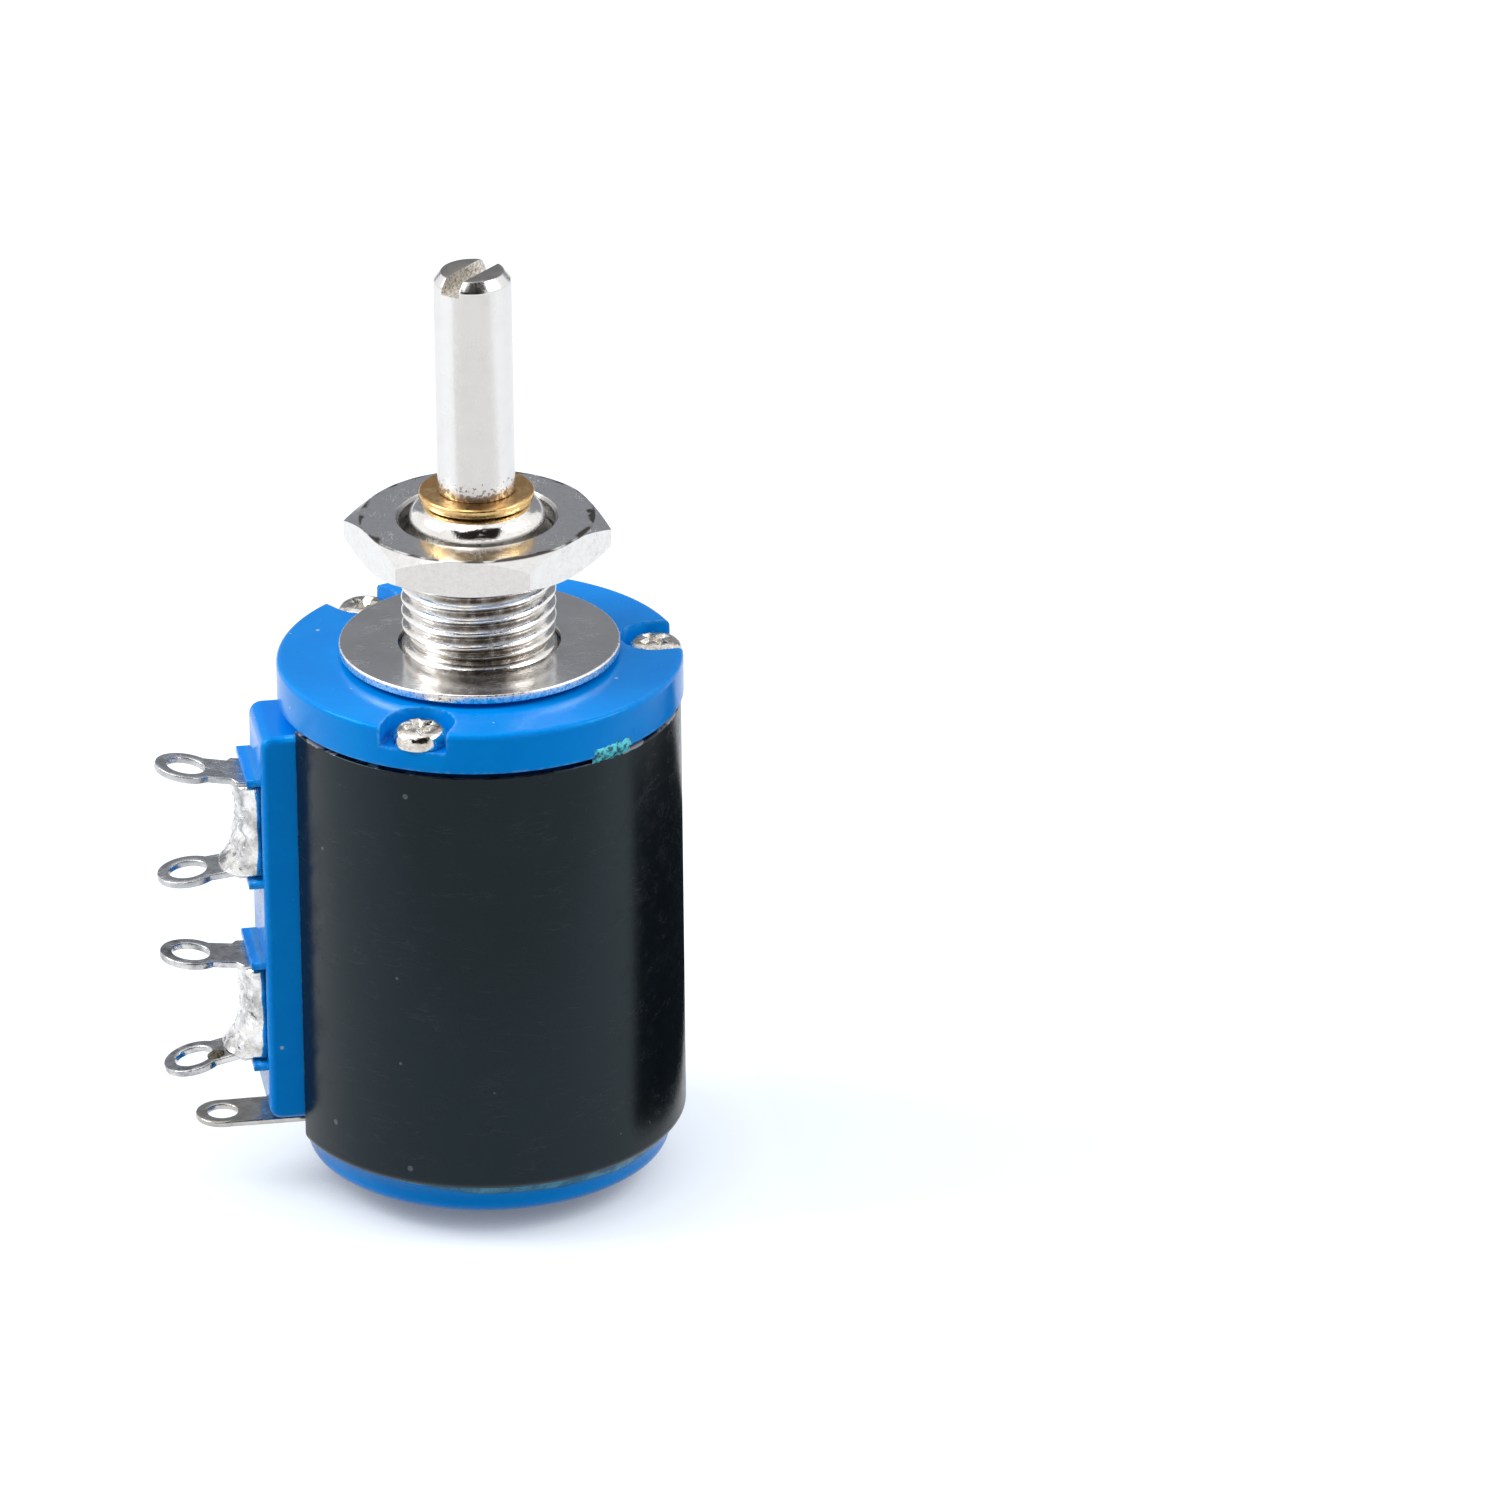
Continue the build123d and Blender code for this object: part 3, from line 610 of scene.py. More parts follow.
# Moulding: faint flow marks and a fine pebble in a plastic surface.
moulding, given, result = group_tree(
    "moulding",
    {"Color": ["Plastic", "Pale"], "Float": ["Grain", "Gloss", "Scuffed"]},
    skin_outputs,
)
flow = mottle(moulding, 0.35, 4, Roughness=0.6, Distortion=0.6)
flow = ramp(moulding, flow, 0.35, 0.75, 0.0, 0.35)
scuffs = ramp(moulding, mottle(moulding, 1.1, 7, Roughness=0.72), 0.5, 0.72)
spread = sums(moulding, "SUBTRACT", given["Scuffed"], given["Gloss"])
waves = mottle(moulding, 0.55, 1)
outcome = {
    "Color": blend(moulding, flow, given["Plastic"], given["Pale"]),
    "Roughness": sums(moulding, "MULTIPLY_ADD", scuffs, spread, given["Gloss"]),
    "Height": sums(moulding, "MULTIPLY_ADD", waves, 2.5, mottle(moulding, given["Grain"], 2)),
}
wired(moulding, result, outcome)

# Dust: pale specks of uneven size, scattered in loose groups.
dust, given, result = group_tree("dust", {"Float": ["Spacing", "Speck Size", "Amount"]}, mask_only)
grid = sums(dust, "DIVIDE", 1.0, given["Spacing"])
cells = add(dust, "TexVoronoi", {"Vector": millimetres(dust), "Scale": grid}).outputs
chance = add(dust, "SeparateColor", {"Color": cells["Color"]}).outputs
filled = sums(dust, "GREATER_THAN", chance["Green"], 0.62)
size = product(dust, given["Speck Size"], chance["Red"], filled)
speck = ramp(dust, sums(dust, "SUBTRACT", size, cells["Distance"]), 0.0, 0.025)
wired(dust, result, {"Mask": product(dust, speck, given["Amount"])})


def moulded(name, plastic, pale, worn_and_highlight, sheen, gloss, scuffed, grain, relief, speck_share, dust_color):
    """Moulded plastic: flow marks, scuffs, pale edges that are partly wear and mostly a painted highlight,
    and specks of dust.
    """
    glossy = {"IOR": 1.43, "Specular IOR Level": 0.45, "Specular Tint": sheen}
    made, tree, shader = finish(name, glossy)
    flowed = {"Plastic": plastic, "Pale": pale, "Grain": grain, "Gloss": gloss, "Scuffed": scuffed}
    skin = placed(tree, moulding, flowed)
    # Pale edges: a painted highlight along the rounded edges, besides wear.
    worn_and_highlit_edges = placed(tree, edge_wear_and_highlight, {"Reach": 0.26 * mm, "Amount": 0.5})["Mask"]
    color = blend(tree, worn_and_highlit_edges, skin["Color"], worn_and_highlight)
    lines = {"Along": (0.5, 0.5, 1.2), "Scale": 0.9, "Amount": 0.22}
    color = blend(tree, placed(tree, scratches, lines)["Mask"], color, pale)
    specks = {"Spacing": 1.1, "Speck Size": 0.12, "Amount": speck_share}
    specks = placed(tree, dust, specks)["Mask"]
    color = blend(tree, specks, color, dust_color)
    roughness = sums(tree, "MULTIPLY_ADD", specks, 0.5, skin["Roughness"])
    wired(tree, shader, {"Base Color": color, "Roughness": roughness})
    height = sums(tree, "MULTIPLY_ADD", specks, 2.0, skin["Height"])
    bumped(tree, shader, height, relief, 0.01)
    return made


blue_plastic = moulded(
    "blue plastic",
    plastic=(0.0, 0.272, 0.88), pale=(0.0, 0.37, 0.94),
    # The pale edge colour is mostly a painted highlight on the plastic's rounded edges.
    worn_and_highlight=(0.3, 0.66, 0.97), sheen=(0.05, 0.65, 1.0),
    gloss=0.16, scuffed=0.32, grain=16.0, relief=0.25,
    speck_share=0.75, dust_color=(0.62, 0.72, 0.82),
)
front_cap.data.materials.append(blue_plastic)
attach(front_cap, "housing")
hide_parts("front_cap")


# --- Cap screws ------------------------------------------------------------------------
# Three small steel screws, plated, with pan heads and cross recesses. They stand in the
# cap's pockets and hold the cap to the winding case.

head_radius = 1.42
head_top = pocket_floor + 0.95
shank_radius = 0.45
screw_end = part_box("cap_screws")[0].z / mm
recess_turns = [math.radians(degrees) for degrees in (28, 62, 12)]
recess_reach = 1.05
recess_lip = 0.17

screw_outline = rounded(
    (0.0, head_top, 0),
    (0.5, head_top, 0),
    (head_radius, head_top - 0.12, 0.6),
    (head_radius, pocket_floor, 0.06),
    (shank_radius, pocket_floor, 0),
    (shank_radius, screw_end, 0.1),
    (0.0, screw_end, 0),
)


def recess_blade(angle):
    """Tapered blade, one of the two that cut a cross recess."""
    rings = []
    for depth, half_length, half_width in ((-0.6, 0.3, 0.12), (0.4, 1.2, 0.34)):
        ring = swung(oblong(-half_length, half_length, half_width), angle)
        rings.append([Vector((x, y, head_top + depth)) * mm for x, y in ring])
    return lofted("blade", rings)


screw_plate = plated(
    "screw plate",
    metal=(0.84, 0.82, 0.77), tarnish=(0.3, 0.23, 0.16), worn_and_highlight=(0.94, 0.93, 0.91),
    share=0.8, size=0.5, polished=0.07, dull=0.22,
    along=(1.0, 1.0, 1.0), lines=1.5, relief=0.5,
)
# Painted shade: the cross recess's faces get a dark finish for the shade inside it.
recess_shade = plated(
    "recess shade",
    metal=(0.55, 0.5, 0.43), tarnish=(0.07, 0.05, 0.035), worn_and_highlight=(0.8, 0.77, 0.72),
    share=1.0, size=0.3, polished=0.1, dull=0.3,
    along=(1.0, 1.0, 1.0), lines=1.5, relief=0.6,
)
for number, (angle, turn) in enumerate(zip(screw_angles, recess_turns), 1):
    screw = turned(f"cap_screw_{number}", screw_outline, sides=64)
    blades = recess_blade(turn), recess_blade(turn + math.pi / 2)
    worked(combined(screw, "DIFFERENCE", *blades), rounding=0.04, angle=40)
    for face in screw.data.polygons:
        depth = head_top - face.center.z / mm
        if face.center.xy.length / mm < recess_reach and recess_lip < depth < 1:
            face.material_index = 1
    for point in screw.data.vertices:
        point.co += heading(angle) * screw_circle * mm
    screw.data.materials.append(screw_plate)
    screw.data.materials.append(recess_shade)
    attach(screw, "housing")
    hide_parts("cap_screws")


# --- Winding case ----------------------------------------------------------------------
# Tube moulded in the same blue plastic, with a rib along its side that carries the
# terminals. Four small ledges on the rib keep the terminals apart.

rib_face = -11.78
rib_half_width = 2.6
rib_top = -3.15
rib_foot = -24.85
rib_root = -8.6
case_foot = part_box("winding_case")[0].z / mm
pair_tops = {"front": -5.95, "rear": -16.35}
pair_height = 5.4
ledge_reach = 0.75
ledge_root = 0.5  # how deep a ledge starts in the rib
ledge_half_width = 2.25
ledge_thickness = 0.4

tube_outline = rounded(
    (7.9, cap_under, 0), (9.72, cap_under, 0.1), (9.72, case_foot, 0.1), (7.9, case_foot, 0)
)
case_tube = turned("winding_case_moulded", tube_outline)
rib_outline = rounded(
    (rib_root, rib_top, 0), (rib_face, rib_top, 0.65), (rib_face, rib_foot, 0.65), (rib_root, rib_foot, 0),
    steps=8,
)
rib_outline = [point / mm for point in rib_outline]
rib = prism("rib", rib_outline, -rib_half_width, rib_half_width, plane="XZ")
worked(rib, rounding=0.35, steps=4, angle=50)
ledges = []
for top in pair_tops.values():
    for ledge_top in (top + ledge_thickness, top - pair_height):
        corners = (
            (rib_face + ledge_root, ledge_top),
            (rib_face - ledge_reach, ledge_top),
            (rib_face - ledge_reach, ledge_top - ledge_thickness),
            (rib_face + ledge_root, ledge_top - ledge_thickness),
        )
        ledge = prism("ledge", corners, -ledge_half_width, ledge_half_width, plane="XZ")
        ledges.append(worked(ledge, rounding=0.07, angle=50))
worked(combined(case_tube, "UNION", rib, *ledges))
case_tube.data.materials.append(blue_plastic)
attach(case_tube, "housing")
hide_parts("winding_case")


# --- Terminal pairs --------------------------------------------------------------------
# Each is one stamping of tinned brass sheet, folded to a C round the rib's face, with a
# ring for a wire at both ends. The tail inside the rib never shows and isn't made here.

sheet = 0.35
ring_radius = 1.6
eye_radius = 1.0
neck_half = 1.2
root_half = 1.6
mouth_steps = 12  # across the neck, where the ring opens into it
ring_steps = 38  # round the rest of the ring
row_step = 0.12
knee_x = rib_face - 0.85
eyes = {}
for mount in frame["record"]["mounts"]:
    if mount["name"].startswith("lug"):
        eyes[mount["name"]] = (Vector(mount["pos_m"]) / mm, Vector(mount["axis"]))


def stamping(name, path, rings, half_width_at, thickness):
    """Sheet bent along a path in the XZ plane; rings gives each end's ring, eye and neck."""
    spans = [(second - first).length for first, second in zip(path, path[1:])]
    whole = sum(spans)

    def place(along, across):
        index = 0
        while index < len(spans) - 1 and along > spans[index]:
            along -= spans[index]
            index += 1
        point = path[index].lerp(path[index + 1], along / spans[index])
        return Vector((point.x, across * mm, point.y))

    shape = bmesh.new()
    shares = []
    ends = []
    for number, (ring, eye, neck) in enumerate(rings):
        opening = math.asin(neck / ring)
        angles = [opening * (2 * step / mouth_steps - 1) for step in range(mouth_steps + 1)]
        rest = math.tau - 2 * opening
        angles += [opening + rest * step / ring_steps for step in range(1, ring_steps)]
        shares = [math.sin(angle) / math.sin(opening) for angle in angles[: mouth_steps + 1]]
        bands = []
        for radius in (eye, (eye + ring) / 2, ring):
            band = []
            for angle in angles:
                along = ring + radius * math.cos(angle)
                along = along * mm if number == 0 else whole - along * mm
                band.append(shape.verts.new(place(along, radius * math.sin(angle))))
            bands.append(band)
        skinned(shape, bands)
        ends.append(bands[-1][: mouth_steps + 1])
    first_row = (2 * rings[0][0] + 0.08) * mm
    last_row = whole - (2 * rings[1][0] + 0.08) * mm if len(rings) > 1 else whole
    count = int((last_row - first_row) / (row_step * mm))
    rows = [ends[0]]
    for step in range(count + 1):
        along = first_row + (last_row - first_row) * step / count
        half = half_width_at(along / mm, whole / mm)
        rows.append([shape.verts.new(place(along, half * share)) for share in shares])
    if len(ends) > 1:
        rows.append(ends[1])
    skinned(shape, rows, closed=False)
    piece = finished(name, shape)
    sheet_metal = piece.modifiers.new("sheet", "SOLIDIFY")
    sheet_metal.thickness = thickness * mm
    sheet_metal.offset = 0.0
    return worked(piece, rounding=0.06, angle=60)


def pair_path(top, upper, lower):
    """Middle line of a folded pair, from the upper ring's tip to the lower ring's."""
    corners = []
    level = (top - sheet / 2, top - pair_height + sheet / 2)
    web = rib_face - sheet / 2
    for (eye, axis), height in ((upper, level[0]), (lower, level[1])):
        outward = Vector((-axis.z, 0, axis.x))
        tip = eye + outward * ring_radius
        corners.append(((tip.x, tip.z, 0), (knee_x, height, 1.1), (web, height, 0.42)))
    return rounded(*corners[0], *corners[1][::-1], steps=10)


terminals = {}
for side, top in pair_tops.items():
    upper = eyes[f"lug_{side}_upper"]
    lower = eyes[f"lug_{side}_lower"]
    reaches = [(eye - Vector((knee_x, 0, eye.z))).length for eye, axis in (upper, lower)]

    def half_width(along, whole, reaches=reaches):
        """Narrow necks behind the rings, full width round the fold."""
        from_eye = min(along - ring_radius - reaches[0], whole - along - ring_radius - reaches[1])
        spread = min(max((from_eye + 0.5) / 0.25, 0.0), 1.0)
        return neck_half + (root_half - neck_half) * spread

    ring = (ring_radius, eye_radius, neck_half)
    path = pair_path(top, upper, lower)
    terminals[side] = stamping(f"terminal_{side}_folded", path, (ring, ring), half_width, sheet)


def tinned(name, metal, tarnish, share, polished, dull, relief):
    """Tinned sheet: a bright skin with grey clouds, pits, and bright edges painted as highlights on its
    bends.
    """
    worn_and_highlight = (0.9, 0.9, 0.89)
    along = (0.35, 1.6, 1.0)
    return plated(name, metal, tarnish, worn_and_highlight, share, 0.9, polished, dull, along, 1.8, relief)


dull_tin = tinned("dull tin", (0.62, 0.63, 0.64), (0.34, 0.36, 0.38), 0.8, 0.2, 0.4, 0.6)
bright_tin = tinned("bright tin", (0.74, 0.74, 0.74), (0.2, 0.21, 0.24), 1.0, 0.08, 0.24, 0.4)
for side, skin in (("front", dull_tin), ("rear", bright_tin)):
    terminal = terminals[side]
    terminal.data.materials.append(skin)
    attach(terminal, "housing")
    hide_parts("terminal_pair_" + side)


# --- Solder ----------------------------------------------------------------------------
# Lumpy soft solder, run in by hand. It fills the inside of each folded pair and thins out
# along the lower lug towards its ring.

solder_half_width = 1.95
solder_rows = 60
solder_columns = 32
waist = 0.4  # how far down the solder is at its thinnest


def solder(name, top, seed, upper_reach, middle_reach, lower_reach):
    """Solder on the web of a pair: hollow in the middle, running out along the lower lug."""
    web = rib_face - 0.02
    high = top - sheet + 0.12
    low = top - pair_height + sheet - 0.12
    rows = []
    for step in range(solder_rows + 1):
        share = step / solder_rows
        if share < waist:
            reach = middle_reach + (upper_reach - middle_reach) * (1 - share / waist) ** 2.2
        else:
            swell = ((share - waist) / (1 - waist)) ** 3.0
            reach = middle_reach + (lower_reach - middle_reach) * swell
        row = []
        for column in range(solder_columns + 1):
            angle = math.pi * column / solder_columns
            bulge = max(math.sin(angle), 0.0) ** 0.55
            across = math.cos(angle) * solder_half_width
            place = Vector((web - reach * bulge, across, high + (low - high) * share))
            lump = noise.noise(place * 0.9 + Vector((seed, 0, 0))) * 0.30
            lump += noise.noise(place * 1.9 + Vector((0, seed, 0))) * 0.24
            lump += noise.noise(place * 5.0 + Vector((0, seed, 0))) * 0.06
            place.x -= lump * bulge * min(1.0, 6 * share, 6 * (1 - share) + 0.2)
            place.y += noise.noise(place * 1.3 + Vector((0, 0, seed))) * 0.12
            row.append(place * mm)
        rows.append(row)
    return lofted(name, rows)


solder_metal = plated(
    "solder",
    metal=(0.9, 0.9, 0.89), tarnish=(0.22, 0.215, 0.22), worn_and_highlight=(0.93, 0.93, 0.93),
    share=1.0, size=0.9, polished=0.08, dull=0.24,
    along=(1.4, 1.0, 0.5), lines=1.3, relief=0.45,
)
for side, seed, reaches in (("front", 3.7, (1.45, 1.05, 2.1)), ("rear", 9.2, (1.3, 1.0, 2.1))):
    fill = solder(f"solder_{side}_run", pair_tops[side], seed, *reaches)
    fill.data.materials.append(solder_metal)
    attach(fill, "housing")
    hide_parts("solder_" + side)


# --- Wiper's terminal ------------------------------------------------------------------
# Flat strip of tinned brass, out between the winding case and the rear cap, with an eye
# for a wire near its round end.

strip_low, strip_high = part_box("terminal_wiper")
strip_ring = (strip_high.y - strip_low.y) / 2 / mm
strip_middle = (strip_high.z + strip_low.z) / 2
strip_path = [Vector((strip_low.x, strip_middle)), Vector((strip_high.x, strip_middle))]
strip_eye = 0.8
strip_end = (strip_ring, strip_eye, strip_ring * 0.98)
strip_sheet = (strip_high.z - strip_low.z) / mm
strip = stamping(
    "terminal_wiper_strip", strip_path, (strip_end,), lambda along, whole: strip_ring, strip_sheet
)
warm_tin = tinned("warm tin", (0.62, 0.6, 0.56), (0.34, 0.32, 0.29), 0.7, 0.14, 0.3, 0.15)
strip.data.materials.append(warm_tin)
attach(strip, "housing")
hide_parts("terminal_wiper")


# --- Winding, drum and wiper -----------------------------------------------------------
# Inside the case: a core wound with fine resistance wire, coiled ten times on the case's
# bore, and the moulded drum, carrier and brass contacts that pick a point along it.

winding_wire = plated(
    "winding wire",
    metal=(0.55, 0.33, 0.16), tarnish=(0.24, 0.13, 0.07), worn_and_highlight=(0.75, 0.5, 0.28),
    share=0.6, size=0.8, polished=0.25, dull=0.5,
    along=(0.2, 0.2, 6.0), lines=3.0, relief=0.8,
)
contact_brass = plated(
    "contact brass",
    metal=(0.75, 0.52, 0.24), tarnish=(0.4, 0.24, 0.1), worn_and_highlight=(0.88, 0.7, 0.42),
    share=0.5, size=1.2, polished=0.2, dull=0.42,
    along=(1.0, 1.0, 0.3), lines=1.2, relief=0.3,
)
drum_plastic = moulded(
    "drum plastic",
    plastic=(0.02, 0.02, 0.021), pale=(0.07, 0.07, 0.07),
    worn_and_highlight=(0.1, 0.1, 0.1), sheen=(1, 1, 1),
    gloss=0.35, scuffed=0.6, grain=14.0, relief=0.3,
    speck_share=0.3, dust_color=(0.4, 0.4, 0.4),
)
carrier_plastic = moulded(
    "carrier plastic",
    plastic=(0.72, 0.68, 0.56), pale=(0.85, 0.83, 0.76),
    worn_and_highlight=(0.88, 0.86, 0.8), sheen=(1, 1, 1),
    gloss=0.3, scuffed=0.5, grain=14.0, relief=0.3,
    speck_share=0.2, dust_color=(0.5, 0.48, 0.42),
)
inner_finishes = {
    "resistance_element": winding_wire,
    "rotor_drum": drum_plastic,
    "wiper_carrier": carrier_plastic,
    "wiper_contact": contact_brass,
    "contact_rail": contact_brass,
    "collector_ring": contact_brass,
    "collector_brush": contact_brass,
    "rear_bearing": contact_brass,
    "thrust_washer": shaft_plate,
}
for name, skin in inner_finishes.items():
    for slot in frame["nodes"][name].material_slots:
        slot.material = skin


# --- Rear cap --------------------------------------------------------------------------
# Disc moulded in the blue plastic, with a round boss at its middle. It centres in the
# case, carries the rear bearing, and the sleeve's rolled lip holds it on.

rear_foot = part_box("rear_cap")[0].z / mm
boss_radius = 5.2
bearing_radius = 3.0
rear_outline = rounded(
    (0.0, -28.0, 0),
    (1.8, -28.0, 0),
    (1.8, -27.4, 0),
    (bearing_radius, -27.4, 0),
    (bearing_radius, -26.0, 0),
    (hollow_radius, -26.0, 0),
    (hollow_radius, -23.3, 0),
    (spigot_radius, -23.3, 0.1),
    (spigot_radius, case_foot, 0),
    (9.68, case_foot, 0),
    (9.68, -25.9, 0),
    (9.5, -25.9, 0),
    (9.5, -27.9, 0.7),
    (boss_radius, -27.9, 0.4),
    (boss_radius, rear_foot, 0.45),
    (0.0, rear_foot, 0),
    steps=8,
)
rear_cap = turned("rear_cap_moulded", rear_outline, sides=200)
groove = prism("groove", oblong(-11.0, -4.0, 1.45), case_foot - 0.3, -23.0)
worked(combined(rear_cap, "DIFFERENCE", groove))
rear_cap.data.materials.append(blue_plastic)
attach(rear_cap, "housing")
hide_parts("rear_cap")


# --- Sleeve ----------------------------------------------------------------------------
# Thin aluminium tube, enamelled satin black, slid over the case from behind. It is
# slotted for the rib, and its lower end is rolled in over the rear cap.

sleeve_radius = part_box("sleeve")[1].x / mm
sleeve_foot, sleeve_top = heights(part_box("sleeve"))
sleeve_bore = 9.8
lip_radius = 9.56
sleeve_outline = rounded(
    (sleeve_bore, sleeve_top - 0.13, 0.06),
    (sleeve_radius, sleeve_top - 0.13, 0.12),
    (sleeve_radius, sleeve_foot, 0.5),
    (lip_radius, sleeve_foot, 0.09),
    (lip_radius, sleeve_foot + 0.22, 0.06),
    (sleeve_bore, sleeve_foot + 0.22, 0),
    steps=8,
)
sleeve = turned("sleeve_enamelled", sleeve_outline, sides=240)
rib_slot = prism("rib slot", oblong(-12.0, -9.0, 2.7), -27.0, 0.0)
worked(combined(sleeve, "DIFFERENCE", rib_slot), rounding=0.05, angle=50)

satin = {"IOR": 1.5, "Specular IOR Level": 0.34, "Specular Tint": (0.62, 0.88, 1.0)}
black_enamel, tree, shader = finish("black enamel", satin)
enamel = {"Plastic": (0.0035, 0.0055, 0.0075), "Pale": (0.009, 0.013, 0.017)}
skin = placed(tree, moulding, {**enamel, "Grain": 22.0, "Gloss": 0.2, "Scuffed": 0.34})
worn_and_highlit_edges = placed(tree, edge_wear_and_highlight, {"Reach": 0.1 * mm, "Amount": 1.0})["Mask"]
color = blend(tree, worn_and_highlit_edges, skin["Color"], (0.34, 0.35, 0.37))
marks = placed(tree, scratches, {"Along": (0.3, 0.3, 1.6), "Scale": 0.8, "Amount": 0.22})["Mask"]
color = blend(tree, marks, color, (0.06, 0.062, 0.068))
specks = placed(tree, dust, {"Spacing": 1.7, "Speck Size": 0.12, "Amount": 0.35})["Mask"]
color = blend(tree, specks, color, (0.3, 0.31, 0.33))
parts = coordinates(tree)
bare = sums(tree, "MULTIPLY_ADD", ramp(tree, mottle(tree, 0.9, 5), 0.38, 0.62), 0.2, parts["Z"])
bare = ramp(tree, bare, sleeve_top - 0.09, sleeve_top - 0.03)
aside = sums(tree, "ABSOLUTE", parts["X"])
bare = product(tree, bare, ramp(tree, aside, 4.5, 6.5, 0.05, 0.9))
color = blend(tree, bare, color, (0.4, 0.39, 0.39))
roughness = sums(tree, "MULTIPLY_ADD", marks, 0.2, skin["Roughness"])
wired(tree, shader, {"Base Color": color, "Roughness": roughness})
bumped(tree, shader, skin["Height"], 0.35, 0.008)
sleeve.data.materials.append(black_enamel)
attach(sleeve, "housing")
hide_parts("sleeve")


# --- Varnish and flux ------------------------------------------------------------------
# Drops left from assembly: a bead of teal locking varnish under the sleeve's rolled lip, painted also as
# the shade under the lip, a dab of it over the joint of sleeve and front cap, and a burnt spot of flux on
# one lug.


def patch(name, columns, rows, place_at, thickness_at):
    """Thin lump on a surface: place_at gives point and outward normal, in millimetres."""
    shape = bmesh.new()
    below, above = [], []
    for column in range(columns + 1):
        shares = [(column / columns, row / rows) for row in range(rows + 1)]
        feet = [place_at(share, across) for share, across in shares]
        below.append([shape.verts.new(point * mm) for point, normal in feet])
        lumps = []
        for (share, across), (point, normal) in zip(shares, feet):
            lumps.append(shape.verts.new((point + normal * thickness_at(share, across, point)) * mm))
        above.append(lumps)
    skinned(shape, below, closed=False)
    skinned(shape, above, closed=False)
    rim = [(0, row) for row in range(rows)] + [(column, rows) for column in range(columns)]
    rim += [(columns, row) for row in range(rows, 0, -1)]
    rim += [(column, 0) for column in range(columns, 0, -1)]
    skinned(shape, [[layer[column][row] for column, row in rim] for layer in (below, above)])
    return finished(name, shape)


bead_middle = math.radians(-50)
bead_radius = 9.49


def bead_place(share, across):
    """Corner under the lip, from the lip down the rear cap's side."""
    angle = math.tau * share * 0.998
    width = 0.24 + 0.42 * max(math.cos(angle - bead_middle), 0.0)
    outward = heading(angle)
    width += 0.1 * noise.noise(outward * 3 + Vector((0, 0, 4.0)))
    return outward * bead_radius + Vector((0, 0, sleeve_foot + 0.03 - width * across)), outward


def bead_thickness(share, across, point):
    """Thick under the lip, thin at its lower edge."""
    return (0.2 + 0.03 * noise.noise(point * 2.0)) * max(1 - across, 0.0) ** 0.7 + 0.012


dab_middle = math.radians(-57.5)
dab_half = math.radians(7.0)
dab_top = -1.95
dab_height = 0.85


def dab_place(share, across):
    """Patch over the cap's lower rim and the sleeve's upper end."""
    angle = dab_middle + dab_half * (2 * share - 1)
    ragged = 0.16 * noise.noise(Vector((9 * share, 3.0 * round(across), 1.0)))
    height = dab_top - dab_height * across + ragged
    outward = heading(angle)
    radius = (cap_radius if height > cap_under - 0.02 else sleeve_radius) - 0.03
    return outward * radius + Vector((0, 0, height)), outward


def dab_thickness(share, across, point):
    """Lumpy, and thin at its edges."""
    edge = min(share, 1 - share, across, 1 - across) * 4
    lump = 0.08 * noise.noise(point * 4.0) + 0.05 * noise.noise(point * 9.0)
    return 0.02 + (0.12 + lump) * min(edge, 1.0)


flux_eye, flux_axis = eyes["lug_rear_lower"]
flux_inward = Vector((flux_axis.z, 0, -flux_axis.x))
flux_middle = flux_eye + flux_inward * 1.15 + Vector((0, -0.62, 0)) + flux_axis * 0.15
flux_radius = 0.46


def flux_place(share, across):
    """Disc on the lug's upper face, at the eye's edge towards the rib."""
    turn = math.tau * share * 0.999
    ragged = 1 + 0.35 * noise.noise(heading(turn) * 2 + Vector((0, 0, 7.0)))
    reach = flux_radius * across * ragged
    offset = flux_inward * reach * math.cos(turn) + Vector((0, reach * math.sin(turn), 0))
    return flux_middle + offset, flux_axis


def flux_thickness(share, across, point):
    """Domed and crusty."""
    return 0.02 + (0.22 + 0.08 * noise.noise(point * 6.0)) * max(1 - across * across, 0.0)


# The bead is partly painted shade: it fills the shadow line under the lip.
varnish_bead_and_shade = patch("varnish_bead_and_shade", 240, 6, bead_place, bead_thickness)
varnish_dab = patch("varnish_dab", 40, 12, dab_place, dab_thickness)
flux_spot = patch("flux_spot", 28, 6, flux_place, flux_thickness)


def dried(name, light, deep, size, gloss, dull):
    """Dried varnish or flux: blotches of two colours on a crusty skin."""
    made, tree, shader = finish(name, {"IOR": 1.48, "Specular IOR Level": 0.4})
    blotches = mottle(tree, size, 5, Roughness=0.7)
    color = blend(tree, ramp(tree, blotches, 0.46, 0.58), light, deep)
    specks = placed(tree, dust, {"Spacing": 0.35, "Speck Size": 0.08, "Amount": 0.7})["Mask"]
    roughness = ramp(tree, blotches, 0.3, 0.7, gloss, dull)
    wired(tree, shader, {"Base Color": blend(tree, specks, color, light), "Roughness": roughness})
    bumped(tree, shader, mottle(tree, 7.0, 4), 0.6, 0.05)
    return made


teal_varnish = dried("teal varnish", (0.12, 0.86, 0.95), (0.004, 0.09, 0.13), 3.2, 0.16, 0.4)
bead_varnish_and_shade = dried("bead varnish and shade", (0.12, 0.42, 0.6), (0.03, 0.2, 0.34), 0.5, 0.18, 0.4)
burnt_flux = dried("burnt flux", (0.12, 0.1, 0.04), (0.012, 0.01, 0.006), 4.0, 0.25, 0.6)
for piece, skin, stands_for in (
    (varnish_bead_and_shade, bead_varnish_and_shade, "sleeve_black"),
    (varnish_dab, teal_varnish, "sleeve_black"),
    (flux_spot, burnt_flux, "solder"),
):
    piece.data.materials.append(skin)
    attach(piece, "housing")


# --- Panel washer ----------------------------------------------------------------------
# Flat washer stamped from steel sheet and plated, loose on the cap's hub.

